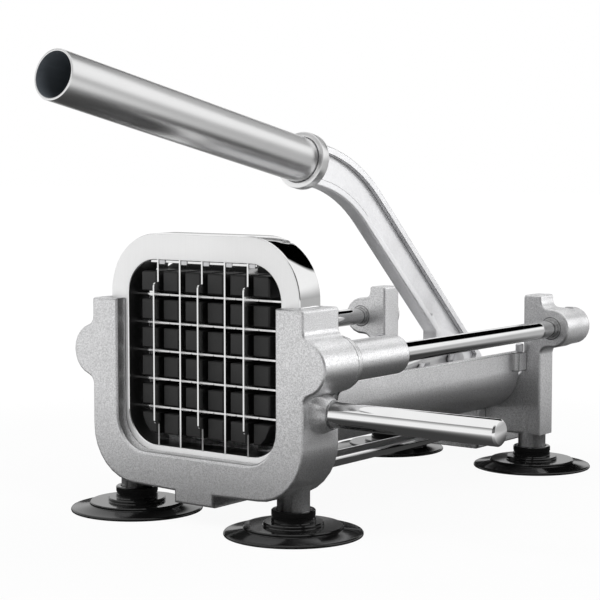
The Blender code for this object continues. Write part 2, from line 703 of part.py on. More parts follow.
def frame_opening():
    half = FRAME_OPENING_HALF_WIDTH
    radius = FRAME_OPENING_RADIUS
    return rounded([(-half, FRAME_OPENING_TOP_Z, radius), (-half, FRAME_OPENING_BOTTOM_Z, radius),
                    (half, FRAME_OPENING_BOTTOM_Z, radius), (half, FRAME_OPENING_TOP_Z, radius)])


def blade_places():
    return [(index - GRID_HALF) * BLADE_PITCH for index in range(BLADE_COUNT)]


def blade_frame():
    body = outline_solid([frame_outline(), frame_opening()], "front", FRAME_Y, FRAME_BACK_Y)
    body = round_rims(body, 1, (FRAME_Y, FRAME_BACK_Y), FINE_EDGE_RADIUS)
    half_notch = BLADE_THICKNESS / 2 + FIT_GAP
    notch_y = FRAME_Y + BLADE_DEPTH + FIT_GAP
    notch_reach = BLADE_TAIL + FIT_GAP
    across = FRAME_OPENING_HALF_WIDTH + notch_reach
    for place in blade_places():
        z = GRID_CENTRE_Z + place
        cut(body, box((place - half_notch, FRAME_Y - CUT_OVERRUN, FRAME_OPENING_BOTTOM_Z - notch_reach),
                      (place + half_notch, notch_y, FRAME_OPENING_TOP_Z + notch_reach)),
            box((-across, notch_y, z - half_notch), (across, FRAME_BACK_Y + CUT_OVERRUN, z + half_notch)))
    return body


def vertical_blade(place, staggered):
    front = FRAME_Y
    back = FRAME_Y + BLADE_DEPTH
    bottom = FRAME_OPENING_BOTTOM_Z - BLADE_TAIL
    top = FRAME_OPENING_TOP_Z + BLADE_TAIL
    corners = [(back, bottom), (back, top), (front, top)]
    if staggered:
        ahead = front - BLADE_STAGGER
        high = FRAME_OPENING_TOP_Z - BLADE_STEP_INSET
        low = FRAME_OPENING_BOTTOM_Z + BLADE_STEP_INSET
        corners += [(front, high), (ahead, high, BLADE_STEP_RADIUS),
                    (ahead, low, BLADE_STEP_RADIUS), (front, low)]
    corners.append((front, bottom))
    return outline_solid([rounded(corners, EAR_STEPS)], "side", place - BLADE_THICKNESS / 2,
                         place + BLADE_THICKNESS / 2)


def horizontal_blade(place):
    reach = FRAME_OPENING_HALF_WIDTH + BLADE_TAIL
    front = FRAME_Y + BLADE_DEPTH + 2 * FIT_GAP
    return box((-reach, front, GRID_CENTRE_Z + place - BLADE_THICKNESS / 2),
               (reach, front + BLADE_DEPTH, GRID_CENTRE_Z + place + BLADE_THICKNESS / 2))


# Rods
def guide_rod(side):
    x = side * ROD_X
    return rod((x, ROD_START_Y, ROD_Z), (x, BARREL_END_Y, ROD_Z), ROD_RADIUS)


def tie_rod():
    end = REAR_Y + 2 * FIT_GAP + TIE_NUT_HEIGHT + LINK_BOLT_TAIL
    return rod((0, FRONT_DEPTH - TIE_ROD_SEAT_DEPTH, TIE_ROD_Z), (0, end, TIE_ROD_Z), TIE_ROD_RADIUS)


def tie_rod_nut():
    start = REAR_Y + 2 * FIT_GAP
    return hexagon((0, TIE_ROD_Z), start, start + TIE_NUT_HEIGHT, TIE_NUT_HEX,
                   TIE_ROD_RADIUS + FIT_GAP, "front", ROUND_STEPS)


# The bar is turned down to a stud where it goes through the side of the casting.
def side_bar():
    inner = SIDE_BAR_START_X + FIT_GAP
    body = rod((inner, FRONT_MIDDLE_Y, SIDE_BAR_Z), (SIDE_BAR_END_X, FRONT_MIDDLE_Y, SIDE_BAR_Z),
               SIDE_BAR_RADIUS)
    return join(body, bar_cylinder(FRAME_HALF_WIDTH + 2 * FIT_GAP, inner + SIDE_BAR_RADIUS,
                                   SIDE_BAR_STUD_RADIUS))


# Trough: the open channel between the castings
def trough_section():
    outer = open_u(TROUGH_HALF_WIDTH, TROUGH_BOTTOM_Z, TROUGH_RADIUS, TROUGH_LIP_Z)
    inner = open_u(TROUGH_INNER_HALF, TROUGH_INNER_Z, TROUGH_INNER_RADIUS, TROUGH_LIP_Z)
    return outer + list(reversed(inner))


def trough_screw_place(side):
    x = side * (TROUGH_HALF_WIDTH + TROUGH_LUG_REACH - TROUGH_SCREW_HEAD_RADIUS)
    return x, REAR_Y - FIT_GAP - TROUGH_LUG_LENGTH / 2


def trough():
    start = FRONT_DEPTH + FIT_GAP
    end = start + TROUGH_LENGTH
    body = outline_solid([trough_section()], "front", start, end)
    round_edges(body, TROUGH_EDGE_RADIUS, 1)
    for side in sides().values():
        near = side * (TROUGH_HALF_WIDTH - TROUGH_WALL / 2)
        far = side * (TROUGH_HALF_WIDTH + TROUGH_LUG_REACH)
        place = trough_screw_place(side)
        join(body, box((min(near, far), end - TROUGH_LUG_LENGTH, TROUGH_LIP_Z - TROUGH_LUG_HEIGHT),
                       (max(near, far), end, TROUGH_LUG_TOP_Z)))
        cut(body, cylinder((*place, TROUGH_LIP_Z - TROUGH_SCREW_LENGTH - FIT_GAP),
                           (*place, TROUGH_LIP_Z + CUT_OVERRUN), TROUGH_SCREW_RADIUS + FIT_GAP,
                           SMALL_ROUND_STEPS))
    return body


# Its base is the seat of the head, and its shank runs against the direction.
def headed_screw(base, direction, length, radius, head_radius, head_height):
    profile = [(0, head_height), (head_radius - FINE_EDGE_RADIUS, head_height),
               (head_radius, head_height - FINE_EDGE_RADIUS), (head_radius, 0), (radius, 0),
               (radius, -length), (0, -length)]
    return turned(profile, base, direction, SMALL_ROUND_STEPS, closed=False)


def trough_screw(side):
    place = (*trough_screw_place(side), TROUGH_LUG_TOP_Z + FIT_GAP)
    return headed_screw(place, Z_AXIS, TROUGH_SCREW_LENGTH - TROUGH_EDGE_RADIUS,
                        TROUGH_SCREW_RADIUS, TROUGH_SCREW_HEAD_RADIUS, TROUGH_SCREW_HEAD_HEIGHT)


# Rear casting: two uprights on a web, with a fork that carries the lever
def rear_outline():
    right = rounded([(0, REAR_WEB_Z), (UPRIGHT_INNER_X, REAR_WEB_Z, REAR_INNER_RADIUS),
                     (UPRIGHT_INNER_X, UPRIGHT_TOP_Z, EAR_RADIUS),
                     (UPRIGHT_OUTER_X, UPRIGHT_TOP_Z, EAR_RADIUS), (UPRIGHT_OUTER_X, ROD_Z)],
                    EAR_STEPS)[1:-1]
    right += bulge(UPRIGHT_OUTER_X, (ROD_X, ROD_Z), REAR_BOSS_RADIUS, BOSS_FILLET)
    right.append((UPRIGHT_OUTER_X, REAR_BOTTOM_Z))
    return mirrored(right)


def fork_outline():
    front = REAR_Y - CROSS_WALL
    seat = TROUGH_BOTTOM_Z - FIT_GAP
    top = REAR_WEB_Z - REAR_INNER_RADIUS
    end = arc((PIVOT_Y, PIVOT_Z), CHEEK_END_RADIUS, 60, -60, 2 * CORNER_STEPS)
    low = (PIVOT_Y - CHEEK_END_RADIUS / 2, CHEEK_BOTTOM_Z)
    return [(front, CHEEK_BOTTOM_Z), (front, seat), (REAR_Y + FIT_GAP, seat),
            (REAR_Y + FIT_GAP, top), (REAR_BACK_Y, top)] + end + [low]


def rear_casting():
    body = outline_solid([rear_outline()], "front", REAR_Y, REAR_BACK_Y)
    body = round_rims(body, 1, (REAR_Y, REAR_BACK_Y), CAST_EDGE_RADIUS)
    fork = outline_solid([fork_outline()], "side", -CHEEK_OUTER_X, CHEEK_OUTER_X)
    join(body, round_rims(fork, 0, (-CHEEK_OUTER_X, CHEEK_OUTER_X), CAST_EDGE_RADIUS))
    for side in sides().values():
        x = side * ROD_X
        join(body, cylinder((x, REAR_Y + REAR_DEPTH / 2, ROD_Z), (x, BARREL_END_Y, ROD_Z),
                            REAR_BOSS_RADIUS - BARREL_STEP),
             post_solid((side * FOOT_X, FOOT_REAR_Y), REAR_BOTTOM_Z + POST_OVERLAP))
    slot_end = PIVOT_Y + CHEEK_END_RADIUS + CUT_OVERRUN
    high = REAR_WEB_Z + CUT_OVERRUN
    cut(body, box((-SLOT_HALF_WIDTH, REAR_Y + FIT_GAP, -CUT_OVERRUN),
                  (SLOT_HALF_WIDTH, slot_end, high)),
        box((-SLOT_HALF_WIDTH, REAR_Y - FIT_GAP, TROUGH_BOTTOM_Z - 2 * FIT_GAP),
            (SLOT_HALF_WIDTH, slot_end, high)))
    for side in sides().values():
        x = side * ROD_X
        cut(body, cylinder((x, REAR_Y - CUT_OVERRUN, ROD_Z), (x, BARREL_END_Y + CUT_OVERRUN, ROD_Z),
                           ROD_RADIUS + FIT_GAP),
            cylinder((x, REAR_GRUB_Y, ROD_Z),
                     (x, REAR_GRUB_Y, ROD_Z + REAR_BOSS_RADIUS + CUT_OVERRUN),
                     GRUB_RADIUS + FIT_GAP, SMALL_ROUND_STEPS),
            stud_bore((side * FOOT_X, FOOT_REAR_Y)))
    cut(body, cylinder((0, REAR_Y - CROSS_WALL - CUT_OVERRUN, TIE_ROD_Z),
                       (0, REAR_Y + CUT_OVERRUN, TIE_ROD_Z), TIE_ROD_RADIUS + FIT_GAP))
    return cut(body, pivot_cylinder(CHEEK_OUTER_X + CUT_OVERRUN, PIVOT_RADIUS + FIT_GAP))


def pivot_cylinder(half_length, radius):
    return cylinder((-half_length, PIVOT_Y, PIVOT_Z), (half_length, PIVOT_Y, PIVOT_Z), radius)


# Under a front boss.
def front_grub_screw(side):
    top = ROD_Z - ROD_RADIUS - FIT_GAP
    return cylinder((side * ROD_X, FRONT_GRUB_Y, top - GRUB_LENGTH), (side * ROD_X, FRONT_GRUB_Y, top),
                    GRUB_RADIUS, SMALL_ROUND_STEPS)


# On top of a rear barrel.
def rear_grub_screw(side):
    bottom = ROD_Z + ROD_RADIUS + FIT_GAP
    return cylinder((side * ROD_X, REAR_GRUB_Y, bottom), (side * ROD_X, REAR_GRUB_Y, bottom + GRUB_LENGTH),
                    GRUB_RADIUS, SMALL_ROUND_STEPS)


# Lever pivot
def pivot_bolt():
    head_end = CHEEK_SEAT_X + PIVOT_HEAD_HEIGHT
    shank = rod((-CHEEK_SEAT_X - PIVOT_HEAD_HEIGHT / 2, PIVOT_Y, PIVOT_Z),
                (head_end + LINK_BOLT_TAIL, PIVOT_Y, PIVOT_Z), PIVOT_RADIUS)
    head = hexagon((PIVOT_Y, PIVOT_Z), -head_end, -CHEEK_SEAT_X, PIVOT_HEX)
    return join(head, shank)


def pivot_nut():
    return hexagon((PIVOT_Y, PIVOT_Z), CHEEK_SEAT_X, CHEEK_SEAT_X + PIVOT_HEAD_HEIGHT, PIVOT_HEX,
                   PIVOT_RADIUS + FIT_GAP)


def pivot_washer(side):
    length = SLOT_HALF_WIDTH - PIVOT_BOSS_HALF_WIDTH - 2 * FIT_GAP
    start = (side * (PIVOT_BOSS_HALF_WIDTH + FIT_GAP), PIVOT_Y, PIVOT_Z)
    return ring(start, X_AXIS * side, length, PIVOT_RADIUS + FIT_GAP, PIVOT_WASHER_RADIUS)


# Lever arm
# The centre of the bend between the handle and the slope of the arm.
def bend_centre():
    reach = LEVER_BEND_RADIUS * math.tan((LEVER_SLOPE - HANDLE_TILT) / 2)
    bend_start_y = LEVER_TOP_Y - reach * math.cos(HANDLE_TILT)
    bend_start_z = LEVER_TOP_Z + reach * math.sin(HANDLE_TILT)
    return (bend_start_y - LEVER_BEND_RADIUS * math.sin(HANDLE_TILT),
            bend_start_z - LEVER_BEND_RADIUS * math.cos(HANDLE_TILT))


# Points along the bend, that far outside the middle line of the arm.
def arm_edge(offset):
    return arc(bend_centre(), LEVER_BEND_RADIUS + offset, 90 - HANDLE_TILT_DEG, 90 - LEVER_SLOPE_DEG,
               BIG_CORNER_STEPS)


def back_along_handle(point, end_y):
    return (end_y, point[1] + (point[0] - end_y) * math.tan(HANDLE_TILT))


def arm_at_y(point, y):
    return (y, point[1] - (y - point[0]) * math.tan(LEVER_SLOPE))


# Where a line under two circles touches each of them; the second is to the rear.
def tangent_points(first, first_radius, second, second_radius):
    gap = Vector(second) - Vector(first)
    lean = math.asin((first_radius - second_radius) / gap.length)
    heading = math.atan2(gap.y, gap.x) - (math.pi / 2 - lean)
    normal = Vector((math.cos(heading), math.sin(heading)))
    return Vector(first) + normal * first_radius, Vector(second) + normal * second_radius


def angle_about(centre, point):
    return math.degrees(math.atan2(point[1] - centre[1], point[0] - centre[0]))


def lever_outline():
    outer = arm_edge(LEVER_WIDTH / 2)
    inner = arm_edge(-LEVER_WIDTH / 2)
    pin = (LINK_PIN_Y, LINK_PIN_Z)
    pivot = (PIVOT_Y, PIVOT_Z)
    pin_touch, pivot_touch = tangent_points(pin, LEVER_FOOT_REACH, pivot, PIVOT_BOSS_RADIUS)
    points = [back_along_handle(outer[0], COLLAR_Y)] + outer
    points.append(arm_at_y(outer[-1], LEVER_HEEL_Y))
    points += arc(pivot, PIVOT_BOSS_RADIUS, HEEL_ANGLE_DEG, angle_about(pivot, pivot_touch),
                  2 * CORNER_STEPS)
    points += arc(pin, LEVER_FOOT_REACH, angle_about(pin, pin_touch), -180)
    points.append(arm_at_y(inner[-1], LEVER_FOOT_Y))
    points += list(reversed(inner))
    points.append(back_along_handle(inner[0], COLLAR_Y))
    return points


# The hollow between the ribs of the arm.
def pocket_outline():
    offset = LEVER_WIDTH / 2 - LEVER_RIB
    outer = arm_edge(offset)
    inner = arm_edge(-offset)
    collar_end = COLLAR_Y + COLLAR_LENGTH
    outer_end = arm_at_y(outer[-1], LEVER_FOOT_Y + LEVER_RIB)
    inner_end = arm_at_y(inner[-1], LEVER_FOOT_Y - LEVER_RIB)
    return ([back_along_handle(outer[0], collar_end)] + outer + [outer_end, inner_end]
            + list(reversed(inner)) + [back_along_handle(inner[0], collar_end)])


def lever_arm():
    body = outline_solid([lever_outline()], "side", -LEVER_HALF, LEVER_HALF)
    body = round_rims(body, 0, (-LEVER_HALF, LEVER_HALF), LEVER_EDGE_RADIUS)
    for side in sides().values():
        faces = sorted((side * LEVER_WEB / 2, side * (LEVER_HALF + CUT_OVERRUN)))
        cut(body, outline_solid([pocket_outline()], "side", *faces))
    join(body, pivot_cylinder(PIVOT_BOSS_HALF_WIDTH, PIVOT_BOSS_RADIUS - FINE_EDGE_RADIUS))
    cut(body, cylinder(COLLAR_CENTRE, COLLAR_CENTRE + TUBE_DIRECTION * SPIGOT_LENGTH,
                       COLLAR_RADIUS + CUT_OVERRUN))
    join(body, collar_and_spigot())
    return cut(body, cylinder((-LEVER_THICKNESS, LINK_PIN_Y, LINK_PIN_Z),
                              (LEVER_THICKNESS, LINK_PIN_Y, LINK_PIN_Z), LINK_BOLT_RADIUS + FIT_GAP,
                              SMALL_ROUND_STEPS),
               pivot_cylinder(PIVOT_BOSS_HALF_WIDTH + CUT_OVERRUN, PIVOT_RADIUS + FIT_GAP))


# A ring with a groove for the end of the tube, and the plug that fills the tube.
def collar_and_spigot():
    seat = COLLAR_LENGTH - COLLAR_RECESS
    plug = TUBE_BORE - FIT_GAP
    groove = TUBE_RADIUS + FIT_GAP
    soft = COLLAR_RADIUS - FINE_EDGE_RADIUS
    profile = [(0, seat + SPIGOT_LENGTH), (plug - ROD_CHAMFER, seat + SPIGOT_LENGTH),
               (plug, seat + SPIGOT_LENGTH - ROD_CHAMFER), (plug, seat), (groove, seat),
               (groove, COLLAR_LENGTH), (soft, COLLAR_LENGTH),
               (COLLAR_RADIUS, COLLAR_LENGTH - FINE_EDGE_RADIUS), (COLLAR_RADIUS, FINE_EDGE_RADIUS),
               (soft, 0), (0, 0)]
    return turned(profile, COLLAR_CENTRE - TUBE_DIRECTION * COLLAR_LENGTH / 2, TUBE_DIRECTION,
                  closed=False)


def handle_tube():
    return ring(TUBE_START, TUBE_DIRECTION, TUBE_LENGTH, TUBE_BORE, TUBE_RADIUS, TUBE_STEPS,
                TUBE_RIM_CHAMFER)


# Links
def spacer_place():
    point = Vector((0, LINK_PIN_Y, LINK_PIN_Z)) + LINK_DIRECTION * SPACER_SET_BACK
    return point.y, point.z


def link(side):
    rear = (LINK_PIN_Y, LINK_PIN_Z)
    front = (LINK_FRONT_Y, LINK_FRONT_Z)
    lean = math.degrees(math.atan2(LINK_DIRECTION.z, LINK_DIRECTION.y))
    outline = arc(front, LINK_RADIUS, lean - 90, lean + 90, 2 * CORNER_STEPS)
    outline += arc(rear, LINK_RADIUS, lean + 90, lean + 270, 2 * CORNER_STEPS)
    loops = [outline, circle(front, LINK_FRONT_PIN_RADIUS + FIT_GAP),
             circle(rear, LINK_BOLT_RADIUS + FIT_GAP),
             circle(spacer_place(), SPACER_BOLT_RADIUS + FIT_GAP)]
    return outline_solid(loops, "side", *sorted((side * LINK_INNER_X, side * LINK_OUTER_X)))


# Its head is on the right, and it runs through both links.
def cross_bolt(place, radius, across_flats):
    nut_end = -LINK_SEAT_X - LINK_BOLT_HEAD - LINK_BOLT_TAIL
    shank = cylinder((nut_end, *place), (LINK_SEAT_X + LINK_BOLT_TAIL, *place), radius,
                     SMALL_ROUND_STEPS)
    head = hexagon(place, LINK_SEAT_X, LINK_SEAT_X + LINK_BOLT_HEAD, across_flats)
    return join(head, shank)


def cross_nut(place, radius, across_flats):
    return hexagon(place, -LINK_SEAT_X - LINK_BOLT_HEAD, -LINK_SEAT_X, across_flats, radius + FIT_GAP)


def link_spacer():
    start = (-LEVER_HALF, *spacer_place())
    return ring(start, X_AXIS, LEVER_THICKNESS, SPACER_BOLT_RADIUS + FIT_GAP, SPACER_RADIUS)


# It fills the eye of the carriage lug, which is as thick as the lever.
def link_front_pin():
    return rod((-LEVER_HALF, LINK_FRONT_Y, LINK_FRONT_Z), (LEVER_HALF, LINK_FRONT_Y, LINK_FRONT_Z),
               LINK_FRONT_PIN_RADIUS, FINE_EDGE_RADIUS, SMALL_ROUND_STEPS)


# Carriage
def carriage_outline():
    arm_end = ROD_X - BUSH_RADIUS / 2
    arm_top = ROD_Z + CARRIAGE_ARM_HEIGHT / 2
    arm_bottom = ROD_Z - CARRIAGE_ARM_HEIGHT / 2
    right = rounded([(0, CARRIAGE_TOP_Z), (CARRIAGE_HALF_WIDTH, CARRIAGE_TOP_Z, CARRIAGE_RADIUS),
                     (CARRIAGE_HALF_WIDTH, arm_top + CARRIAGE_DRAFT), (arm_end, arm_top),
                     (arm_end, arm_bottom), (CARRIAGE_HALF_WIDTH, arm_bottom - CARRIAGE_DRAFT),
                     (CARRIAGE_HALF_WIDTH, SHOULDER_Z + CARRIAGE_DRAFT),
                     (CARRIAGE_BASE_HALF_WIDTH, SHOULDER_Z),
                     (CARRIAGE_BASE_HALF_WIDTH, RUNNER_BASE_Z, RUNNER_RADIUS),
                     (0, RUNNER_BASE_Z)])[1:-1]
    return mirrored(right)


def lug_outline():
    eye = arc((LINK_FRONT_Y, LINK_FRONT_Z), CARRIAGE_LUG_RADIUS, LUG_ROOT_ANGLE_DEG, -90,
              2 * CORNER_STEPS)
    heel = LINK_FRONT_Z - CARRIAGE_LUG_RADIUS + CAST_EDGE_RADIUS
    return [(PLATE_MIDDLE_Y, CARRIAGE_LUG_ROOT_Z)] + eye + [(PLATE_MIDDLE_Y, heel)]


def rib_outline():
    foot = PLATE_BACK_Y + CARRIAGE_RIB_LENGTH
    middle = (CARRIAGE_LUG_ROOT_Z + LINK_FRONT_Z) / 2
    top = CARRIAGE_TOP_Z - CARRIAGE_RADIUS / 2
    return [(PLATE_MIDDLE_Y, middle), (PLATE_MIDDLE_Y, top), (PLATE_BACK_Y + CAST_EDGE_RADIUS, top),
            (foot, middle)]


def pusher_screw_places():
    across = BLADE_PITCH * (PEG_HALF - 1)
    return {f"{row}_{side}": (sign * across, GRID_CENTRE_Z + up * across)
            for side, sign in sides().items() for row, up in (("lower", -1), ("upper", 1))}


# The arm between the plate and a sleeve, and the sleeve round the guide rod.
def carriage_arm(side):
    x = side * ROD_X
    ends = sorted((side * (CARRIAGE_HALF_WIDTH - CARRIAGE_RADIUS / 2), x - side * ROD_RADIUS / 2))
    half_rib = CARRIAGE_ARM_RIB / 2
    brace = box((ends[0], PLATE_MIDDLE_Y, ROD_Z - half_rib),
                (ends[1], PLATE_BACK_Y + CARRIAGE_ARM_RIB_LENGTH, ROD_Z + half_rib))
    sleeve = rod((x, SLEEVE_FRONT_Y, ROD_Z), (x, SLEEVE_FRONT_Y + SLEEVE_LENGTH, ROD_Z),
                 SLEEVE_RADIUS, FINE_EDGE_RADIUS)
    return round_edges(brace, FINE_EDGE_RADIUS, 1), sleeve


def carriage():
    body = outline_solid([carriage_outline()], "front", PLATE_FRONT_Y, PLATE_BACK_Y)
    body = round_rims(body, 1, (PLATE_FRONT_Y, PLATE_BACK_Y), CAST_EDGE_RADIUS)
    for side in sides().values():
        join(body, *carriage_arm(side))
    for outline, half in ((lug_outline(), LEVER_HALF), (rib_outline(), CARRIAGE_RIB_HALF_WIDTH)):
        rib = outline_solid([outline], "side", -half, half)
        join(body, round_rims(rib, 0, (-half, half), FINE_EDGE_RADIUS))
    for side in sides().values():
        x = side * ROD_X
        cut(body, cylinder((x, SLEEVE_FRONT_Y - CUT_OVERRUN, ROD_Z),
                           (x, SLEEVE_FRONT_Y + SLEEVE_LENGTH + CUT_OVERRUN, ROD_Z),
                           BUSH_RADIUS + FIT_GAP))
    for x, z in pusher_screw_places().values():
        cut(body, cylinder((x, PLATE_FRONT_Y - CUT_OVERRUN, z), (x, PLATE_BACK_Y + CUT_OVERRUN, z),
                           PUSHER_SCREW_RADIUS + FIT_GAP, SMALL_ROUND_STEPS))
    return cut(body, cylinder((-LEVER_THICKNESS, LINK_FRONT_Y, LINK_FRONT_Z),
                              (LEVER_THICKNESS, LINK_FRONT_Y, LINK_FRONT_Z),
                              LINK_FRONT_PIN_RADIUS + FIT_GAP, SMALL_ROUND_STEPS))


def slide_bush(side):
    return ring((side * ROD_X, SLEEVE_FRONT_Y + BUSH_LIP, ROD_Z), Y_AXIS,
                SLEEVE_LENGTH - 2 * BUSH_LIP, ROD_RADIUS + FIT_GAP, BUSH_RADIUS, ROUND_STEPS)


# Pusher block
def block_outline():
    right = rounded([(0, BLOCK_TOP_Z), (BLOCK_HALF_WIDTH, BLOCK_TOP_Z, BLOCK_TOP_RADIUS),
                     (BLOCK_HALF_WIDTH, SHOULDER_Z), (RUNNER_HALF, SHOULDER_Z),
                     (RUNNER_HALF, RUNNER_BASE_Z, RUNNER_RADIUS), (0, RUNNER_BASE_Z)])[1:-1]
    return mirrored(right)


# The room that the pegs fill: inside the opening of the blade frame and the trough.
def peg_envelope():
    half = RUNNER_HALF - PEG_SIDE_GAP
    base = FRAME_OPENING_BOTTOM_Z + PEG_BASE_GAP
    top = FRAME_OPENING_TOP_Z - PEG_TOP_GAP
    return rounded([(-half, top, PEG_TOP_RADIUS), (-half, base, RUNNER_RADIUS),
                    (half, base, RUNNER_RADIUS), (half, top, PEG_TOP_RADIUS)])


def pegs():
    shape = bmesh.new()
    length = BLOCK_FRONT_Y - PEG_FACE_Y + BLOCK_PLATE / 2
    for column in range(PEG_COUNT):
        for row in range(PEG_COUNT):
            centre = Vector(((column - PEG_HALF) * BLADE_PITCH, PEG_FACE_Y + length / 2,
                             GRID_CENTRE_Z + (row - PEG_HALF) * BLADE_PITCH))
            made = bmesh.ops.create_cube(shape, size=1)["verts"]
            bmesh.ops.scale(shape, vec=(PEG_SIZE, length, PEG_SIZE), verts=made)
            bmesh.ops.translate(shape, vec=centre, verts=made)
            front = [edge for vert in made for edge in vert.link_edges
                     if all(end.co.y < centre.y for end in edge.verts)]
            bmesh.ops.bevel(shape, geom=list(set(front)), offset=PEG_EDGE, segments=1,
                            affect="EDGES", profile=0.5, material=-1)
    return mesh_object("pegs", shape)


def pusher_block():
    body = outline_solid([block_outline()], "front", BLOCK_FRONT_Y, BLOCK_BACK_Y)
    body = round_rims(body, 1, (BLOCK_FRONT_Y, BLOCK_BACK_Y), FINE_EDGE_RADIUS, 1)
    studs = pegs()
    combine(studs, outline_solid([peg_envelope()], "front", PEG_FACE_Y - CUT_OVERRUN, BLOCK_BACK_Y),
            "INTERSECT")
    join(body, studs)
    for x, z in pusher_screw_places().values():
        deepest = PLATE_BACK_Y - PUSHER_SCREW_LENGTH
        cut(body, cylinder((x, deepest, z), (x, BLOCK_BACK_Y + CUT_OVERRUN, z),
                           PUSHER_SCREW_RADIUS + FIT_GAP, SMALL_ROUND_STEPS))
    return body


def pusher_screw(place):
    x, z = place
    return headed_screw((x, PLATE_BACK_Y + FIT_GAP, z), Y_AXIS, PUSHER_SCREW_LENGTH,
                        PUSHER_SCREW_RADIUS, PUSHER_SCREW_HEAD_RADIUS, PUSHER_SCREW_HEAD_HEIGHT)


# Feet
def suction_foot(place):
    inner = FOOT_RADIUS - FOOT_REST_WIDTH
    socket = POST_RADIUS + FIT_GAP
    bore = STUD_RADIUS + FIT_GAP
    profile = [(bore, FOOT_SOCKET_Z), (socket, FOOT_SOCKET_Z), (socket, FOOT_COLLAR_Z),
               (FOOT_COLLAR_RADIUS, FOOT_COLLAR_Z), (FOOT_COLLAR_RADIUS, FOOT_HUB_Z),
               (FOOT_HUB_RADIUS, FOOT_HUB_Z), (FOOT_HUB_RADIUS, FOOT_STEP_Z),
               (FOOT_STEP_RADIUS, FOOT_STEP_Z), (FOOT_STEP_RADIUS, FOOT_DISC_Z),
               (FOOT_RADIUS, FOOT_RIM_THICKNESS),
               (FOOT_RADIUS, 0), (inner, 0), (FOOT_HUB_RADIUS, FOOT_HOLLOW_Z),
               (bore, FOOT_HOLLOW_Z)]
    return turned(profile, (*place, 0), Z_AXIS, ROUND_STEPS)


def foot_stud(place):
    return cylinder((*place, STUD_BOTTOM_Z), (*place, STUD_BOTTOM_Z + STUD_LENGTH), STUD_RADIUS,
                    SMALL_ROUND_STEPS)


# Assembly
def empty_at(name, place, parent):
    item = bpy.data.objects.new(name, None)
    bpy.context.scene.collection.objects.link(item)
    item.parent = parent
    item.location = place if parent is None else Vector(place) - origin_of(parent)
    item["place"] = tuple(place)
    return item


def origin_of(empty):
    return Vector(empty["place"])


# Name a finished solid and hang it on the empty that it moves with.
def add_piece(group, name, item, parent, material):
    item.name = name
    item.data.name = name
    item.data.transform(Matrix.Translation(-origin_of(parent)))
    item.data.materials.clear()
    item.data.materials.append(material)
    item.data.shade_smooth()
    item.data.set_sharp_from_angle(angle=SMOOTH_ANGLE)
    item.parent = parent
    bpy.context.scene.collection.objects.unlink(item)
    group.objects.link(item)


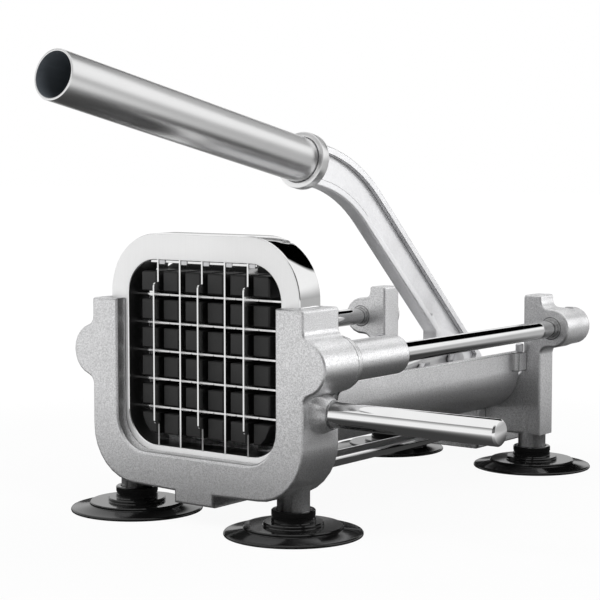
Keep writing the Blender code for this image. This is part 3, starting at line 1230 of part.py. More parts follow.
def build():
    clear_scene()
    group = collection("french_fry_cutter")
    cast = finish_material("sand_cast_aluminium", (0.56, 0.56, 0.57), 0.45, 0.9)
    chrome = finish_material("chrome_steel", (0.80, 0.80, 0.81), 0.08, 1)
    satin = finish_material("satin_steel", (0.66, 0.66, 0.67), 0.28, 1)
    blade = finish_material("blade_steel", (0.75, 0.75, 0.76), 0.18, 1)
    plastic = finish_material("black_plastic", (0.02, 0.02, 0.021), 0.5, 0)
    rubber = finish_material("black_rubber", (0.008, 0.008, 0.009), 0.25, 0)
    zinc = finish_material("zinc_fasteners", (0.60, 0.60, 0.60), 0.3, 1)
    nylon = finish_material("white_nylon", (0.75, 0.74, 0.70), 0.45, 0)

    world = empty_at("cutter", (0, 0, 0), None)
    world.location = -MIDDLE
    lever_axis = empty_at("lever_axis", (0, PIVOT_Y, PIVOT_Z), world)
    link_axis = empty_at("link_axis", (0, LINK_PIN_Y, LINK_PIN_Z), lever_axis)
    slide = empty_at("slide", (0, PLATE_BACK_Y, ROD_Z), world)

    def fixed(name, item, material):
        add_piece(group, name, item, world, material)

    fixed("front_casting", front_casting(), cast)
    fixed("rear_casting", rear_casting(), cast)
    fixed("trough", trough(), cast)
    fixed("blade_frame", blade_frame(), satin)
    for index, place in enumerate(blade_places()):
        staggered = index % 2 == 0
        fixed(f"blade_vertical_{index + 1}", vertical_blade(place, staggered), blade)
        fixed(f"blade_horizontal_{index + 1}", horizontal_blade(place), blade)
    for side, sign in sides().items():
        fixed(f"guide_rod_{side}", guide_rod(sign), chrome)
        fixed(f"trough_screw_{side}", trough_screw(sign), zinc)
        fixed(f"front_grub_screw_{side}", front_grub_screw(sign), zinc)
        fixed(f"rear_grub_screw_{side}", rear_grub_screw(sign), zinc)
        fixed(f"pivot_washer_{side}", pivot_washer(sign), zinc)
    fixed("tie_rod", tie_rod(), chrome)
    fixed("tie_rod_nut", tie_rod_nut(), zinc)
    fixed("side_bar", side_bar(), chrome)
    fixed("pivot_bolt", pivot_bolt(), zinc)
    fixed("pivot_nut", pivot_nut(), zinc)
    for name, place in feet_places().items():
        fixed(f"foot_{name}", suction_foot(place), rubber)
        fixed(f"foot_stud_{name}", foot_stud(place), zinc)

    add_piece(group, "lever_arm", lever_arm(), lever_axis, cast)
    add_piece(group, "handle_tube", handle_tube(), lever_axis, satin)

    for side, sign in sides().items():
        add_piece(group, f"link_{side}", link(sign), link_axis, satin)
    pin = (LINK_PIN_Y, LINK_PIN_Z)
    add_piece(group, "link_bolt", cross_bolt(pin, LINK_BOLT_RADIUS, LINK_BOLT_HEX), link_axis, zinc)
    add_piece(group, "link_nut", cross_nut(pin, LINK_BOLT_RADIUS, LINK_BOLT_HEX), link_axis, zinc)
    spacer = spacer_place()
    add_piece(group, "spacer_bolt", cross_bolt(spacer, SPACER_BOLT_RADIUS, SPACER_BOLT_HEX),
              link_axis, zinc)
    add_piece(group, "spacer_nut", cross_nut(spacer, SPACER_BOLT_RADIUS, SPACER_BOLT_HEX),
              link_axis, zinc)
    add_piece(group, "link_spacer", link_spacer(), link_axis, zinc)

    add_piece(group, "carriage", carriage(), slide, cast)
    for side, sign in sides().items():
        add_piece(group, f"slide_bush_{side}", slide_bush(sign), slide, nylon)
    add_piece(group, "pusher_block", pusher_block(), slide, plastic)
    for name, place in pusher_screw_places().items():
        add_piece(group, f"pusher_screw_{name}", pusher_screw(place), slide, zinc)
    add_piece(group, "link_front_pin", link_front_pin(), slide, zinc)


build()
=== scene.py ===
import json
import math

import bmesh
import bpy
from mathutils import Matrix, Vector

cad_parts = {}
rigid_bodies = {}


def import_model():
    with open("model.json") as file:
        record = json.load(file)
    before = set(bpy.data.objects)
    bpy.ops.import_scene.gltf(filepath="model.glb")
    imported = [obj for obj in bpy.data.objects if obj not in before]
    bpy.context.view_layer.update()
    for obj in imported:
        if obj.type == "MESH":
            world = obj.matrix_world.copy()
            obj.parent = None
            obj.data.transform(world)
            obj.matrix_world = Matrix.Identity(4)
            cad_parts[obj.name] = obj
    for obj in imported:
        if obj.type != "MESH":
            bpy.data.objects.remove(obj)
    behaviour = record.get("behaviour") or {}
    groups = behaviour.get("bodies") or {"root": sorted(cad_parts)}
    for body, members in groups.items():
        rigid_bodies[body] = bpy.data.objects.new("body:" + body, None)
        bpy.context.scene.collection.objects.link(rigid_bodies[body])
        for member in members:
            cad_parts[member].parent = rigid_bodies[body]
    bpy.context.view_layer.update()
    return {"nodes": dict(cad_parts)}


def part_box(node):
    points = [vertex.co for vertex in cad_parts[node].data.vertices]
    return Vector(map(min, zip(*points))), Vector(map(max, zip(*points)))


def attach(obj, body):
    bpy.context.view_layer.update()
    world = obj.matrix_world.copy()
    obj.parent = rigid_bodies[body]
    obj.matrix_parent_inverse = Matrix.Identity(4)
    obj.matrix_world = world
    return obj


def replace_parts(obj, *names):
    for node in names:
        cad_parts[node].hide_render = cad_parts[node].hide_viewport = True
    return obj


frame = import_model()
nodes = frame["nodes"]

# Places and sizes of pieces are in millimetres: x right of the middle plane, y behind the
# front face of the front casting, z above the ground. Floor, world and lamps are in metres.
mm = 0.001
middleX = sum(corner.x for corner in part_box("blade_frame")) / 2
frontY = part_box("front_casting")[0].y
xAxis = Vector((1, 0, 0))
yAxis = Vector((0, 1, 0))
zAxis = Vector((0, 0, 1))
sides = {"left": -1, "right": 1}


def spot(x, y, z):
    return Vector((middleX + x * mm, frontY + y * mm, z * mm))


def camel(node):
    first, *rest = node.split("_")
    return first + "".join(word.title() for word in rest)


# Shader helpers
class Wire:
    def __init__(self, tree, socket):
        self.tree = tree
        self.socket = socket

    def math(self, operation, first, second):
        return self.tree.node("ShaderNodeMath", {"operation": operation}, {0: first, 1: second})

    def __add__(self, other):
        return self.math("ADD", self, other)

    def __radd__(self, other):
        return self.math("ADD", other, self)

    def __sub__(self, other):
        return self.math("SUBTRACT", self, other)

    def __rsub__(self, other):
        return self.math("SUBTRACT", other, self)

    def __mul__(self, other):
        return self.math("MULTIPLY", self, other)

    def __rmul__(self, other):
        return self.math("MULTIPLY", other, self)

    def largest(self, other):
        return self.math("MAXIMUM", self, other)

    def between(self, low, high):
        # 0 below low, 1 above high, soft in between
        return self.tree.node("ShaderNodeMapRange", {"interpolation_type": "SMOOTHSTEP"},
                              {"Value": self, "From Min": low, "From Max": high})


class Tree:
    def __init__(self, owner):
        owner.use_nodes = True
        self.nodes = owner.node_tree.nodes
        self.links = owner.node_tree.links

    def node(self, kind, settings=None, inputs=None, output=0):
        made = self.nodes.new(kind)
        for name, value in (settings or {}).items():
            setattr(made, name, value)
        for name, value in (inputs or {}).items():
            self.put(made.inputs[name], value)
        return Wire(self, made.outputs[output])

    def put(self, socket, value):
        if isinstance(value, Wire):
            self.links.new(value.socket, socket)
        else:
            socket.default_value = value

    def blend(self, amount, first, second):
        return self.node("ShaderNodeMix", {"data_type": "RGBA"},
                         {"Factor": amount, 6: first, 7: second}, output=2)

    def vectorMath(self, operation, first, second):
        return self.node("ShaderNodeVectorMath", {"operation": operation},
                         {0: first, 1: second}, output="Value")

    def axis(self, vector, name):
        return self.node("ShaderNodeSeparateXYZ", inputs={0: vector}, output=name)

    def ray(self, kind):
        return self.node("ShaderNodeLightPath", output=f"Is {kind} Ray")


# a finish is a recipe: waves are noises (scale per metre) or a range of an earlier wave, and
# shade, roughness and bump are weighted sums of waves; radii and distances are millimetres
class Finish(Tree):
    # samples of the shader's rounding; from and to bound the mask of the painted edge shade
    edges = {"samples": 6, "from": 0.004, "to": 0.06}

    def __init__(self, recipe):
        self.material = bpy.data.materials.new(recipe["name"])
        super().__init__(self.material)
        self.surface = self.nodes["Principled BSDF"]
        for socket, value in recipe["surface"].items():
            self.feed(socket, value)
        self.waves = {}
        for name, wave in recipe["waves"].items():
            self.waves[name] = self.noise(wave) if "scale" in wave else self.ranged(wave)
        skin = self.blend(self.weigh(recipe["shade"]), *recipe["shades"])
        # painted shade: edges and creases are darkened toward a dark grey
        if "line" in recipe:
            line = recipe["line"]
            skin = self.blend(self.paintedEdgeMask(line["radius"]) * line["amount"], skin,
                              grey(line["shade"]))
        self.feed("Base Color", skin)
        plain, spread = recipe["roughness"]
        self.feed("Roughness", plain + self.weigh(spread))
        if "bump" in recipe:
            self.bump(**recipe["bump"])

    def feed(self, socket, value):
        self.put(self.surface.inputs[socket], value)

    def noise(self, wave):
        place = self.node("ShaderNodeTexCoord", output="Object")
        place = self.node("ShaderNodeMapping", inputs={"Vector": place,
                                                       "Scale": wave.get("stretch", (1, 1, 1))})
        return self.node("ShaderNodeTexNoise", inputs={
            "Vector": place, "Scale": wave["scale"], "Detail": wave["detail"],
            "Roughness": wave.get("roughness", 0.5)})

    def ranged(self, wave):
        return self.waves[wave["of"]].between(*wave["range"])

    def weigh(self, shares):
        return sum(self.waves[name] * share for name, share in shares.items())

    def rounded(self, radius):
        return self.node("ShaderNodeBevel", {"samples": self.edges["samples"]},
                         {"Radius": radius * mm})

    def bump(self, waves, strength, distance, edge=0):
        # edge: radius by which the shader rounds the edges
        inputs = {"Height": self.weigh(waves), "Strength": strength, "Distance": distance * mm}
        if edge:
            inputs["Normal"] = self.rounded(edge)
        self.feed("Normal", self.node("ShaderNodeBump", inputs=inputs))

    def paintedEdgeMask(self, radius):
        # mask of the painted shade: 1 along edges and creases, 0 on flats and smooth curves
        plain = self.node("ShaderNodeNewGeometry", output="Normal")
        match = self.vectorMath("DOT_PRODUCT", self.rounded(radius), plain)
        return (1 - match).between(self.edges["from"], self.edges["to"])


def grey(level, blue=0.0):
    return (level, level, level * (1 + blue), 1)


# Finishes
finishes = {
    "cast": {
        "name": "blastedAluminium", "slot": "sand_cast_aluminium", "surface": {"Metallic": 0.9},
        "waves": {"grain": {"scale": 2100, "detail": 3, "roughness": 0.65},
                  "pits": {"scale": 945, "detail": 2}, "patch": {"scale": 40, "detail": 3},
                  "speckle": {"of": "grain", "range": (0.34, 0.66)},
                  "cloud": {"of": "patch", "range": (0.3, 0.7)}},
        "shades": (grey(0.52, 0.01), grey(0.84, 0.01)), "shade": {"speckle": 0.88, "cloud": 0.12},
        # painted shade along edges and creases
        "line": {"radius": 0.9, "amount": 0.8, "shade": 0.05},
        "roughness": (0.42, {"speckle": -0.12}),
        "bump": {"waves": {"grain": 0.6, "pits": 0.4}, "strength": 0.35, "distance": 0.3,
                 "edge": 0.6}},
    # the lever arm is cast smoother than the other castings
    "arm": {
        "name": "smoothCasting", "slot": "sand_cast_aluminium", "surface": {"Metallic": 0.8},
        "waves": {"grain": {"scale": 900, "detail": 3, "roughness": 0.6},
                  "patch": {"scale": 70, "detail": 3},
                  "speckle": {"of": "grain", "range": (0.3, 0.7)},
                  "cloud": {"of": "patch", "range": (0.3, 0.7)}},
        "shades": (grey(0.80, 0.015), grey(0.93, 0.015)),
        "shade": {"speckle": 0.35, "cloud": 0.65},
        # painted shade along edges and creases
        "line": {"radius": 0.7, "amount": 0.8, "shade": 0.05},
        "roughness": (0.36, {"patch": 0.10}),
        "bump": {"waves": {"grain": 0.5, "patch": 0.5}, "strength": 0.07, "distance": 0.3,
                 "edge": 0.5}},
    # ground flat front of the blade frame
    "satin": {
        "name": "satinFace", "slot": "satin_steel", "surface": {"Metallic": 0.8},
        "waves": {"strokes": {"scale": 1600, "detail": 2, "stretch": (1, 1, 0.03)},
                  "patch": {"scale": 30, "detail": 2}},
        "shades": (grey(0.88), grey(0.98)), "shade": {"strokes": 0.5, "patch": 0.5},
        "roughness": (0.42, {"strokes": 0.12}),
        "bump": {"waves": {"strokes": 1}, "strength": 0.06, "distance": 0.2}},
    # painted shade: inner walls of the blade frame coloured near black, as if in the shade of the
    # grid
    "wall": {
        "name": "darkWall", "surface": {"Metallic": 0.7},
        "waves": {"patch": {"scale": 90, "detail": 3}},
        "shades": (grey(0.035), grey(0.060)), "shade": {"patch": 1},
        "roughness": (0.32, {"patch": 0.12})},
    "chrome": {
        "name": "polishedChrome", "slot": "chrome_steel", "surface": {"Metallic": 1.0},
        "waves": {"smear": {"scale": 60, "detail": 3}, "dust": {"scale": 2600, "detail": 2},
                  "stain": {"of": "smear", "range": (0.45, 0.8)}},
        "shades": (grey(0.80), grey(0.90)), "shade": {"smear": 1},
        "roughness": (0.035, {"stain": 0.05, "dust": 0.02}),
        "bump": {"waves": {"smear": 0.7, "dust": 0.3}, "strength": 0.02, "distance": 0.2}},
    "tube": {
        "name": "brushedTube", "slot": "satin_steel", "surface": {"Metallic": 1.0},
        "waves": {"along": {"scale": 1800, "detail": 3, "stretch": (1, 0.03, 0.2)},
                  "patch": {"scale": 26, "detail": 3}},
        "shades": (grey(0.80), grey(0.92)), "shade": {"along": 0.4, "patch": 0.6},
        "roughness": (0.27, {"along": 0.03, "patch": 0.03}),
        "bump": {"waves": {"along": 1}, "strength": 0.012, "distance": 0.2}},
    "inside": {
        "name": "tubeInside", "surface": {"Metallic": 0.3},
        "waves": {"along": {"scale": 900, "detail": 3, "stretch": (1, 0.05, 0.3)}},
        "shades": ((0.100, 0.115, 0.130, 1), (0.150, 0.168, 0.188, 1)), "shade": {"along": 1},
        "roughness": (0.45, {"along": 0.15})},
    "blade": {
        "name": "bladeSteel", "slot": "blade_steel", "surface": {"Metallic": 1.0},
        "waves": {"strokes": {"scale": 2400, "detail": 2, "stretch": (1, 1, 0.05)}},
        "shades": (grey(0.74), grey(0.90)), "shade": {"strokes": 1},
        "roughness": (0.08, {"strokes": 0.08}),
        "bump": {"waves": {"strokes": 1}, "strength": 0.04, "distance": 0.1}},
    "plastic": {
        "name": "mouldedBlack", "slot": "black_plastic", "surface": {"Specular IOR Level": 0.4},
        "waves": {"grain": {"scale": 1200, "detail": 3}, "patch": {"scale": 80, "detail": 2}},
        "shades": (grey(0.010), grey(0.022)), "shade": {"patch": 1},
        "roughness": (0.42, {"grain": 0.16}),
        "bump": {"waves": {"grain": 1}, "strength": 0.12, "distance": 0.3}},
    "rubber": {
        "name": "glossyRubber", "slot": "black_rubber", "surface": {"Specular IOR Level": 0.5},
        "waves": {"cloud": {"scale": 120, "detail": 3}, "dust": {"scale": 2200, "detail": 2}},
        "shades": (grey(0.002), grey(0.006)), "shade": {"cloud": 1},
        "roughness": (0.07, {"cloud": 0.08, "dust": 0.03}),
        "bump": {"waves": {"cloud": 0.5, "dust": 0.5}, "strength": 0.03, "distance": 0.3}},
    "plated": {
        "name": "platedSteel", "slot": "zinc_fasteners", "surface": {"Metallic": 1.0},
        "waves": {"cloud": {"scale": 300, "detail": 3}, "dust": {"scale": 2600, "detail": 2}},
        "shades": (grey(0.50, 0.02), grey(0.70, 0.02)), "shade": {"cloud": 1},
        "roughness": (0.22, {"cloud": 0.16, "dust": 0.05}),
        "bump": {"waves": {"dust": 1}, "strength": 0.08, "distance": 0.2}},
    "nylon": {
        "name": "plainNylon", "slot": "white_nylon", "surface": {"Specular IOR Level": 0.45},
        "waves": {"cloud": {"scale": 200, "detail": 3}},
        "shades": ((0.62, 0.61, 0.57, 1), (0.72, 0.71, 0.67, 1)), "shade": {"cloud": 1},
        "roughness": (0.38, {"cloud": 0.2}),
        "bump": {"waves": {"cloud": 1}, "strength": 0.06, "distance": 0.2}},
}
materials = {key: Finish(recipe).material for key, recipe in finishes.items()}
print("finishes made")


# Mesh helpers
mergeDistance = 0.002 * mm


def placed(name, shape):
    mesh = bpy.data.meshes.new(name)
    shape.to_mesh(mesh)
    shape.free()
    item = bpy.data.objects.new(name, mesh)
    bpy.context.scene.collection.objects.link(item)
    return item


def newPiece(name, shape, body, *coats, sharp=32):
    piece = placed(name, shape)
    for coat in coats:
        piece.data.materials.append(materials[coat])
    piece.data.shade_smooth()
    piece.data.set_sharp_from_angle(angle=math.radians(sharp))
    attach(piece, body)
    return piece


def closed(shape):
    bmesh.ops.remove_doubles(shape, verts=shape.verts, dist=mergeDistance)
    bmesh.ops.recalc_face_normals(shape, faces=shape.faces)
    return shape


def mergedCopy(node):
    # a CAD mesh is loose triangles: merge them and clear the flats
    shape = bmesh.new()
    shape.from_mesh(nodes[node].data)
    bmesh.ops.remove_doubles(shape, verts=shape.verts, dist=mergeDistance)
    bmesh.ops.dissolve_limit(shape, angle_limit=math.radians(1), verts=shape.verts,
                             edges=shape.edges)
    return shape


def flatCopy(node, name, body, finish, shape=None):
    # the solid with flat flats and smooth curves; its finish rounds the edges
    piece = newPiece(name, shape or mergedCopy(node), body, finish, sharp=35)
    weighted = piece.modifiers.new("flatFlats", "WEIGHTED_NORMAL")
    weighted.keep_sharp = True
    weighted.weight = 100
    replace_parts(piece, node)


def bevelledCopy(node, body, finish, width, angle=30):
    # the solid with its edges rounded, its flats still flat
    piece = newPiece(camel(node), mergedCopy(node), body, finish, sharp=180)
    bevel = piece.modifiers.new("roundedEdges", "BEVEL")
    bevel.width = width * mm
    bevel.segments = 2
    bevel.limit_method = "ANGLE"
    bevel.angle_limit = math.radians(angle)
    bevel.use_clamp_overlap = True
    bevel.harden_normals = True
    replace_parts(piece, node)


def thicken(shape, faces, step):
    grown = bmesh.ops.extrude_face_region(shape, geom=faces)
    moved = [item for item in grown["geom"] if isinstance(item, bmesh.types.BMVert)]
    bmesh.ops.translate(shape, verts=moved, vec=step)


def cutAway(shape, outline, near, far):
    # outline: (y, z) points, cut on both sides between two distances from the middle plane
    cutter = bmesh.new()
    for side in sides.values():
        verts = [cutter.verts.new(spot(side * near, y, z)) for y, z in outline]
        thicken(cutter, [cutter.faces.new(verts)], (side * (far - near) * mm, 0, 0))
    bmesh.ops.recalc_face_normals(cutter, faces=cutter.faces)
    tool = placed("cutter", cutter)
    work = placed("work", shape)
    cut = work.modifiers.new("cut", "BOOLEAN")
    cut.operation = "DIFFERENCE"
    cut.object = tool
    cut.solver = "EXACT"
    bpy.context.view_layer.update()
    graph = bpy.context.evaluated_depsgraph_get()
    result = bmesh.new()
    result.from_mesh(bpy.data.meshes.new_from_object(work.evaluated_get(graph)))
    for item in (work, tool):
        bpy.data.objects.remove(item, do_unlink=True)
    return result


def turned(profile, base, direction, steps=96, loop=True):
    # profile: (radius, height), spun about an axis from base along direction
    shape = bmesh.new()
    verts = [shape.verts.new((radius * mm, 0, height * mm)) for radius, height in profile]
    pairs = list(zip(verts, verts[1:])) + ([(verts[-1], verts[0])] if loop else [])
    edges = [shape.edges.new(pair) for pair in pairs]
    bmesh.ops.spin(shape, geom=verts + edges, cent=(0, 0, 0), axis=(0, 0, 1), dvec=(0, 0, 0),
                   angle=math.tau, steps=steps, use_merge=True, use_duplicate=False)
    turn = zAxis.rotation_difference(Vector(direction)).to_matrix().to_4x4()
    bmesh.ops.transform(shape, matrix=Matrix.Translation(base) @ turn, verts=shape.verts)
    return closed(shape)


def softRod(radius, length, edge):
    # profile of a rod with rounded ends
    arc = [(radius - edge + edge * math.sin(angle), edge - edge * math.cos(angle))
           for angle in (0, math.pi / 6, math.pi / 3, math.pi / 2)]
    far = [(away, length - height) for away, height in reversed(arc)]
    return [(0, 0)] + arc + far + [(0, length)]


# Lever and handle
tube = {"tilt": math.radians(11.8), "radius": 10.5, "wall": 1.1, "length": 165.0,
        "throughY": 115.4, "throughZ": 150.7, "fromCollar": 0.4, "inward": 0.04}
collar = {"y": 79.5, "radius": 13.32, "length": 5.06, "bore": 10.8, "step": 2.6, "hole": 6.8}
# the hollow between the ribs runs on past the eye of the links
hollow = {"web": 1.7, "flange": 6.0, "outline": [
    (184.0, 82.0), (192.2, 71.4), (200.0, 69.8), (207.5, 67.0), (213.0, 60.5), (214.5, 53.0),
    (218.0, 47.0), (224.0, 46.0), (229.5, 54.5), (190.0, 90.8)]}


def makeHandle():
    tilt = tube["tilt"]
    way = Vector((0, -math.cos(tilt), math.sin(tilt)))
    rise = (tube["throughY"] - collar["y"]) * math.tan(tilt)
    middle = spot(0, collar["y"], tube["throughZ"] + rise)
    start = middle + way * tube["fromCollar"] * mm
    outer = tube["radius"]
    inner = outer - tube["wall"]
    length = tube["length"]
    profile = [(inner, 0.3), (outer - 0.3, 0), (outer, 0.3), (outer, length - 0.5),
               (outer - 0.15, length - 0.15), (outer - 0.5, length), (inner + 0.3, length),
               (inner + 0.08, length - 0.1), (inner, length - 0.3)]
    shape = turned(profile, start, way, 128)
    for face in shape.faces:
        reach = face.calc_center_median() - start
        away = (reach - way * reach.dot(way)).length
        face.material_index = 1 if away < (inner + tube["inward"]) * mm else 0
    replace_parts(newPiece("handleTube", shape, "lever", "tube", "inside"), "handle_tube")
    outer, length, bore = collar["radius"], collar["length"], collar["bore"]
    profile = [(bore, collar["step"]), (bore, length - 0.3), (bore + 0.3, length),
               (outer - 0.5, length), (outer - 0.12, length - 0.16), (outer, length - 0.5),
               (outer, 0.5), (outer - 0.12, 0.16), (outer - 0.5, 0), (collar["hole"], 0),
               (collar["hole"], collar["step"])]
    newPiece("handleCollar", turned(profile, middle - way * length / 2 * mm, way), "lever", "tube")


armShape = cutAway(mergedCopy("lever_arm"), hollow["outline"], hollow["web"], hollow["flange"])
flatCopy("lever_arm", "leverArm", "lever", "arm", armShape)
makeHandle()
print("lever made")


# Castings
socket = {"mouth": 66.0, "y": 13.0, "z": 53.0, "radius": 6.2, "wide": 9, "deep": 0.6}
seats = {"guide": {"inner": 4.47, "outer": 5.9, "rise": 0.16},
         "bar": {"inner": 5.52, "outer": 6.15, "rise": 0.3}}
guide = {"x": 58.9, "z": 73.0, "radius": 4.45, "rearSeat": 211.05, "frontSeat": 27.95,
         "rimStart": 22.0}
bossRim = [(9.5, 2.0), (11.9, 2.0), (12.03, 2.15), (12.03, 3.85), (11.88, 4.03), (11.6, 4.03),
           (11.48, 4.12), (11.45, 5.75), (11.2, 6.0), (5.9, 6.0), (5.9, 5.5), (9.5, 5.5)]


def flareSocket(shape):
    # the mouth of the side bar's socket tapers close to the bar
    axis = spot(socket["mouth"], socket["y"], socket["z"])
    radius = socket["radius"] * mm
    for vert in shape.verts:
        away = Vector((0, vert.co.y - axis.y, vert.co.z - axis.z))
        if (vert.co.x > axis.x - socket["deep"] * mm
                and radius < away.length < socket["wide"] * mm):
            vert.co -= away.normalized() * (away.length - radius)
    return shape


def seatRing(name, place, direction, inner, outer, rise):
    # closes the fine gap round a rod where it enters a casting
    profile = [(inner, 0), (outer, 0), (outer - 0.1, rise * 0.6), (inner + 0.5, rise),
               (inner, rise)]
    newPiece(name, turned(profile, place, direction, 64), "cutter_frame", "cast")


flatCopy("front_casting", "frontCasting", "cutter_frame", "cast",
         flareSocket(mergedCopy("front_casting")))
flatCopy("rear_casting", "rearCasting", "cutter_frame", "cast")
flatCopy("carriage", "carriageCasting", "carriage", "cast")
for word, side in sides.items():
    x, z = side * guide["x"], guide["z"]
    seatRing(f"rearSeat{word.title()}", spot(x, guide["rearSeat"], z), -yAxis, **seats["guide"])
    seatRing(f"frontSeat{word.title()}", spot(x, guide["frontSeat"], z), yAxis, **seats["guide"])
for word, side in sides.items():
    place = spot(side * guide["x"], guide["rimStart"], guide["z"])
    newPiece(f"bossRim{word.title()}", turned(bossRim, place, yAxis), "cutter_frame", "cast",
             sharp=20)
seatRing("barSeat", spot(socket["mouth"] - 0.05, socket["y"], socket["z"]), xAxis, **seats["bar"])
print("castings made")


# Blade frame and blades
arch = {"front": 6.32, "depth": 14.78, "half": 53.3, "bottom": 20.6, "top": 126.5,
        "topRadius": 27, "bottomRadius": 18.4, "openHalf": 43.1, "openBottom": 32.1,
        "openTop": 114.5, "openRadius": 16, "edge": 0.7, "steps": 24}
strip = {"width": 60.0, "depth": 2.2, "height": 1.5, "back": 1.8, "down": 0.25}
clip = {"width": 3.3, "depth": 2.6, "height": 1.9, "back": 1.6, "down": 0.75, "gap": 0.2}
clipEdge = 0.2


def roundedOutline(shape, half, top, topRadius, bottom, bottomRadius):
    # a face in the plane y = 0 with rounded corners
    corners = [(-half, top, topRadius), (half, top, topRadius), (half, bottom, bottomRadius),
               (-half, bottom, bottomRadius)]
    verts = [shape.verts.new((x * mm, 0, z * mm)) for x, z, radius in corners]
    shape.faces.new(verts)
    for vert, (x, z, radius) in zip(verts, corners):
        bmesh.ops.bevel(shape, geom=[vert], offset=radius * mm, segments=arch["steps"],
                        affect="VERTICES", profile=0.5, material=-1, clamp_overlap=False)


def makeBladeFrame():
    shape = bmesh.new()
    roundedOutline(shape, arch["half"], arch["top"], arch["topRadius"], arch["bottom"],
                   arch["bottomRadius"])
    roundedOutline(shape, arch["openHalf"], arch["openTop"], arch["openRadius"],
                   arch["openBottom"], arch["openRadius"])
    bmesh.ops.delete(shape, geom=shape.faces[:], context="FACES_ONLY")
    bmesh.ops.bridge_loops(shape, edges=shape.edges[:])
    thicken(shape, shape.faces[:], (0, arch["depth"] * mm, 0))
    closed(shape)
    rims = [edge for edge in shape.edges if edge.calc_face_angle(0) > 1]
    bmesh.ops.bevel(shape, geom=rims, offset=arch["edge"] * mm, segments=3, affect="EDGES",
                    profile=0.5, material=-1, clamp_overlap=True)
    bmesh.ops.translate(shape, verts=shape.verts, vec=spot(0, arch["front"], 0))
    closed(shape)
    middle = spot(0, 0, (arch["top"] + arch["bottom"]) / 2)
    # satin front and back, inner walls coloured near black as painted shade, chrome for the rest
    for face in shape.faces:
        inward = (face.calc_center_median() - middle).dot(face.normal) < 0
        if abs(face.normal.y) > 0.95:
            face.material_index = 0
        else:
            face.material_index = 2 if inward and abs(face.normal.y) < 0.05 else 1
    piece = newPiece("bladeFrame", shape, "cutter_frame", "satin", "chrome", "wall")
    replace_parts(piece, "blade_frame")


def smallBlock(name, size, x, finish):
    # a strip or clip that holds the upper ends of the blades
    shape = bmesh.new()
    bmesh.ops.create_cube(shape, size=1)
    bmesh.ops.scale(shape, verts=shape.verts,
                    vec=[size[side] * mm for side in ("width", "depth", "height")])
    bmesh.ops.bevel(shape, geom=shape.edges[:], offset=clipEdge * mm, segments=2,
                    affect="EDGES", profile=0.5, material=-1)
    place = spot(0, arch["front"] + size["back"], arch["openTop"] - size["down"])
    place.x = x
    bmesh.ops.translate(shape, verts=shape.verts, vec=place)
    newPiece(name, shape, "cutter_frame", finish)


makeBladeFrame()
smallBlock("bladeStrip", strip, middleX, "blade")
for index in range(1, 6):
    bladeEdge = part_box(f"blade_vertical_{index}")[1].x
    smallBlock(f"bladeClip{index}", clip, bladeEdge + (clip["gap"] + clip["width"] / 2) * mm,
               "plated")
for index in range(1, 6):
    for way in ("vertical", "horizontal"):
        flatCopy(f"blade_{way}_{index}", f"{way}Blade{index}", "cutter_frame", "blade")
print("blade frame made")


# Pusher block
pusher = {"edge": 0.35}
bevelledCopy("pusher_block", "carriage", "plastic", pusher["edge"])
print("pusher made")


# Rods and side bar
tie = {"z": 14.7, "radius": 3.85}
rodEdge = 0.6
bar = {"start": 60.7, "length": 85.3, "y": 13.0, "z": 53.0}


def chromeRod(node, x, z, radius):
    low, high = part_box(node)
    start = spot(x, 0, z)
    start.y = low.y
    profile = softRod(radius, max(high - low) / mm, rodEdge)
    piece = newPiece(camel(node), turned(profile, start, yAxis, loop=False), "cutter_frame",
                     "chrome")
    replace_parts(piece, node)


def makeSideBar():
    start = spot(bar["start"], bar["y"], bar["z"])
    length = bar["length"]
    stud = (start.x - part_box("side_bar")[0].x) / mm
    profile = [(0, -stud), (3.3, -stud), (3.6, 0.3 - stud), (3.6, 0), (5.2, 0), (5.5, 0.3),
               (5.5, length - 0.9), (5.42, length - 0.75), (4.75, length - 0.08),
               (4.6, length), (0, length)]
    piece = newPiece("sideBar", turned(profile, start, xAxis, loop=False), "cutter_frame",
                     "chrome")
    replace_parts(piece, "side_bar")


for word, side in sides.items():
    chromeRod(f"guide_rod_{word}", side * guide["x"], guide["z"], guide["radius"])
chromeRod("tie_rod", 0, tie["z"], tie["radius"])
makeSideBar()
print("rods made")


# Trough
flatCopy("trough", "troughChannel", "cutter_frame", "cast")
print("trough made")


# Feet
footProfile = [
    (2.3, 5.8), (7.4, 5.8), (7.4, 10.5), (7.7, 10.8), (9.1, 10.8), (9.5, 10.4), (9.5, 8.4),
    (9.2, 8.2), (9.2, 7.5), (9.5, 7.3), (9.5, 5.9), (9.8, 5.6), (12.6, 5.6), (13.0, 5.2),
    (13.0, 4.3), (13.3, 4.0), (21.1, 4.0), (21.5, 3.6), (21.5, 2.9), (21.9, 2.55), (29.0, 1.35),
    (29.65, 1.15), (29.94, 0.75), (29.98, 0.3), (29.85, 0.0), (27.25, 0.0), (26.6, 0.25),
    (13.0, 1.6), (2.3, 1.6)]
for end in ("front", "rear"):
    for word in sides:
        node = f"foot_{end}_{word}"
        low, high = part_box(node)
        base = Vector(((low.x + high.x) / 2, (low.y + high.y) / 2, 0))
        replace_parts(newPiece(camel(node), turned(footProfile, base, zAxis), "cutter_frame",
                             "rubber", sharp=40), node)
print("feet made")


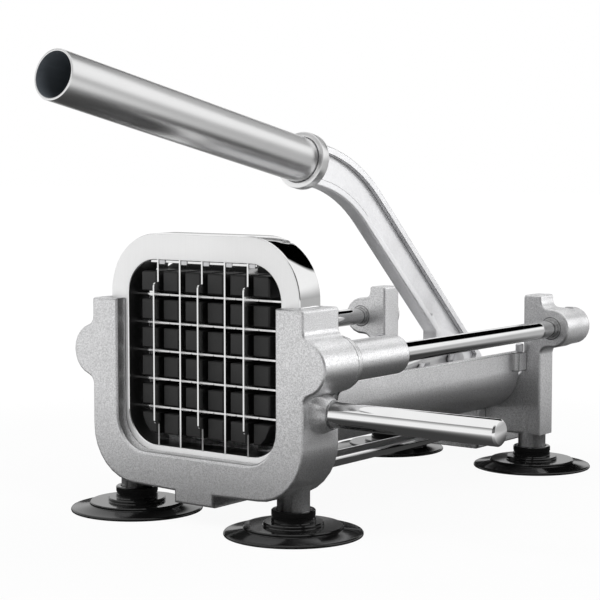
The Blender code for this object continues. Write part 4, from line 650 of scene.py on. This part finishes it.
# Links and fasteners
fastener = {"edge": 0.22, "angle": 28}
link = {"edge": 0.3}
bush = {"edge": 0.2}
fasteners = {"link_bolt": "links", "link_nut": "links", "spacer_bolt": "links",
             "spacer_nut": "links", "link_spacer": "links", "link_front_pin": "carriage",
             "pivot_bolt": "cutter_frame", "pivot_nut": "cutter_frame",
             "tie_rod_nut": "cutter_frame"}
for node in sorted(nodes):
    if node.startswith(("trough_screw", "front_grub", "rear_grub", "foot_stud", "pivot_washer")):
        fasteners[node] = "cutter_frame"
    if node.startswith("pusher_screw"):
        fasteners[node] = "carriage"
for word in sides:
    bevelledCopy(f"link_{word}", "links", "tube", link["edge"])
for node, body in fasteners.items():
    bevelledCopy(node, body, "plated", fastener["edge"], fastener["angle"])
for word in sides:
    bevelledCopy(f"slide_bush_{word}", "carriage", "nylon", bush["edge"])
print("fasteners made")


# Floor, light and camera
floorLook = {"halfSize": 6, "drop": 0.0002, "grey": 0.45, "glow": 1.03, "middleY": 0.110,
             # shadow keys: the painted shadow, where the floor glows less near the object
             "shadow": 0.09, "shadowFrom": 0.24, "shadowTo": 0.50,
             # mirror keys: what metal sees of the floor, a painted shadow near the object
             "mirror": 0.05, "mirrorBack": 0.42, "mirrorFront": 0.50, "mirrorFrom": 0.17,
             "mirrorTo": 0.38, "frontFrom": -0.35, "frontTo": 0.45}
# the world is white to the camera; metal sees it with a dark card above the back, dips in
# front and low at the back, and a dark side
studio = {"ambient": 0.45, "turnover": 0.25,
          "frontDip": 0.7, "frontFrom": 0.20, "frontLow": 0.60, "frontTo": 0.64,
          "backDip": 0.6, "backFrom": -0.06, "backTo": 0.24,
          "card": (-0.07, 0.7965, 0.60), "cardFrom": 0.905, "cardTo": 0.94,
          "side": (0.78, -0.62, 0.05), "sideDip": 0.85, "sideFrom": 0.55, "sideTo": 0.85}
# a lamp with an "only" list lights those finishes alone, and shows in them
lamps = {"key": {"place": (-0.7, -1.3, 1.5), "size": 0.9, "power": 22},
         "fill": {"place": (1.5, -0.3, 1.3), "size": 0.8, "power": 14},
         "rim": {"place": (0.3, 1.5, 1.6), "size": 0.9, "power": 12},
         "castTop": {"place": (0.0, 1.1, 1.0), "size": 0.8, "power": 2.8, "only": ["cast"]},
         "tubeTop": {"place": (0.0, 1.1, 1.0), "size": 0.8, "power": 0.9, "only": ["tube"]},
         "castSide": {"place": (1.1, 1.3, 0.35), "size": 0.9, "power": 3.2,
                      "only": ["cast", "arm"]}}
# focal length in pixels of a picture 600 wide, angles in degrees
view = {"focal": 1733.3, "picture": 600, "sensor": 36, "yaw": 36.95, "pitch": 4.714,
        "place": (484.6, -567.07, 159.93), "clip": 0.01}


def makeFloor():
    shape = bmesh.new()
    bmesh.ops.create_grid(shape, x_segments=1, y_segments=1, size=floorLook["halfSize"])
    bmesh.ops.translate(shape, verts=shape.verts, vec=(0, 0, -floorLook["drop"]))
    floor = placed("floor", shape)
    material = bpy.data.materials.new("paleFloor")
    tree = Tree(material)
    place = tree.node("ShaderNodeTexCoord", output="Object")
    reach = tree.vectorMath("DISTANCE", place, (middleX, frontY + floorLook["middleY"], 0))
    front = 1 - tree.axis(place, "Y").between(floorLook["frontFrom"], floorLook["frontTo"])
    # painted shadow in reflections: metal sees the floor dark near the object, brighter farther
    # out and in front
    mirroredWithPaintedShadow = floorLook["mirror"] + (
        (floorLook["mirrorBack"] + floorLook["mirrorFront"] * front)
        * reach.between(floorLook["mirrorFrom"], floorLook["mirrorTo"]))
    # painted shadow: the floor glows a little less near the object and is darker there; there its
    # diffuse share also shows the real shadow
    paintedShadowGlow = 1 - floorLook["shadow"] * (
        1 - reach.between(floorLook["shadowFrom"], floorLook["shadowTo"]))
    shine = tree.ray("Glossy")
    seen = tree.ray("Camera").largest(tree.ray("Transmission"))
    soft = tree.node("ShaderNodeBsdfDiffuse", inputs={"Color": grey(floorLook["grey"])})
    dark = tree.node("ShaderNodeEmission", inputs={"Color": grey(0), "Strength": 0.0})
    glow = tree.node("ShaderNodeEmission", inputs={"Color": grey(1),
                                                   "Strength": floorLook["glow"]})
    paint = tree.node("ShaderNodeMixShader", inputs={0: shine, 1: soft, 2: dark})
    tree.put(tree.nodes["Material Output"].inputs["Surface"], tree.node(
        "ShaderNodeMixShader", inputs={0: seen * paintedShadowGlow + shine * mirroredWithPaintedShadow, 1: paint, 2: glow}))
    floor.data.materials.append(material)


def makeWorld():
    world = bpy.data.worlds.new("studio")
    bpy.context.scene.world = world
    tree = Tree(world)
    tree.nodes.clear()
    way = tree.node("ShaderNodeTexCoord", output="Generated")

    def toward(name):
        facing = tree.vectorMath("DOT_PRODUCT", way, Vector(studio[name]).normalized())
        return facing.between(studio[f"{name}From"], studio[f"{name}To"])

    height = tree.axis(way, "Z")
    ahead = 1 - tree.axis(way, "Y").between(-studio["turnover"], studio["turnover"])
    dip = (height.between(studio["frontFrom"], studio["frontLow"])
           * (1 - height.between(studio["frontLow"], studio["frontTo"])))
    level = 1 - studio["frontDip"] * ahead * dip
    low = 1 - height.between(studio["backFrom"], studio["backTo"])
    level = level * (1 - studio["backDip"] * (1 - ahead) * low)
    level = level * (1 - toward("card")) * (1 - studio["sideDip"] * toward("side"))
    gloss = tree.ray("Glossy")
    seen = tree.ray("Camera").largest(tree.ray("Transmission"))
    strength = seen + (1 - seen) * (gloss * level + (1 - gloss) * studio["ambient"])
    back = tree.node("ShaderNodeBackground", inputs={"Color": grey(1), "Strength": strength})
    tree.put(tree.nodes.new("ShaderNodeOutputWorld").inputs["Surface"], back)


def lampTargets(name, coats):
    wanted = [materials[coat] for coat in coats]
    targets = bpy.data.collections.new(name)
    for item in bpy.context.scene.collection.all_objects:
        if item.type == "MESH" and item.data.materials and item.data.materials[0] in wanted:
            targets.objects.link(item)
    return targets


def makeLamps():
    for name, lamp in lamps.items():
        light = bpy.data.lights.new(name, "AREA")
        light.size = lamp["size"]
        light.energy = lamp["power"]
        item = bpy.data.objects.new(name, light)
        item.location = lamp["place"]
        item.rotation_euler = (-Vector(lamp["place"])).to_track_quat("-Z", "Y").to_euler()
        item.visible_glossy = "only" in lamp
        if "only" in lamp:
            item.light_linking.receiver_collection = lampTargets(name, lamp["only"])
        bpy.context.scene.collection.objects.link(item)


def makeCamera():
    lens = bpy.data.cameras.new("camera")
    lens.sensor_width = view["sensor"]
    lens.lens = view["focal"] * view["sensor"] / view["picture"]
    lens.clip_start = view["clip"]
    camera = bpy.data.objects.new("camera", lens)
    yaw = math.radians(view["yaw"])
    pitch = math.radians(view["pitch"])
    right = Vector((math.cos(yaw), math.sin(yaw), 0))
    ahead = Vector((-math.sin(yaw) * math.cos(pitch), math.cos(yaw) * math.cos(pitch),
                    -math.sin(pitch)))
    turn = Matrix((right, right.cross(ahead), -ahead)).transposed().to_4x4()
    camera.matrix_world = Matrix.Translation(spot(*view["place"])) @ turn
    bpy.context.scene.collection.objects.link(camera)
    bpy.context.scene.camera = camera


makeFloor()
makeWorld()
makeLamps()
makeCamera()
bpy.context.scene.view_settings.view_transform = "Standard"
print("studio made")
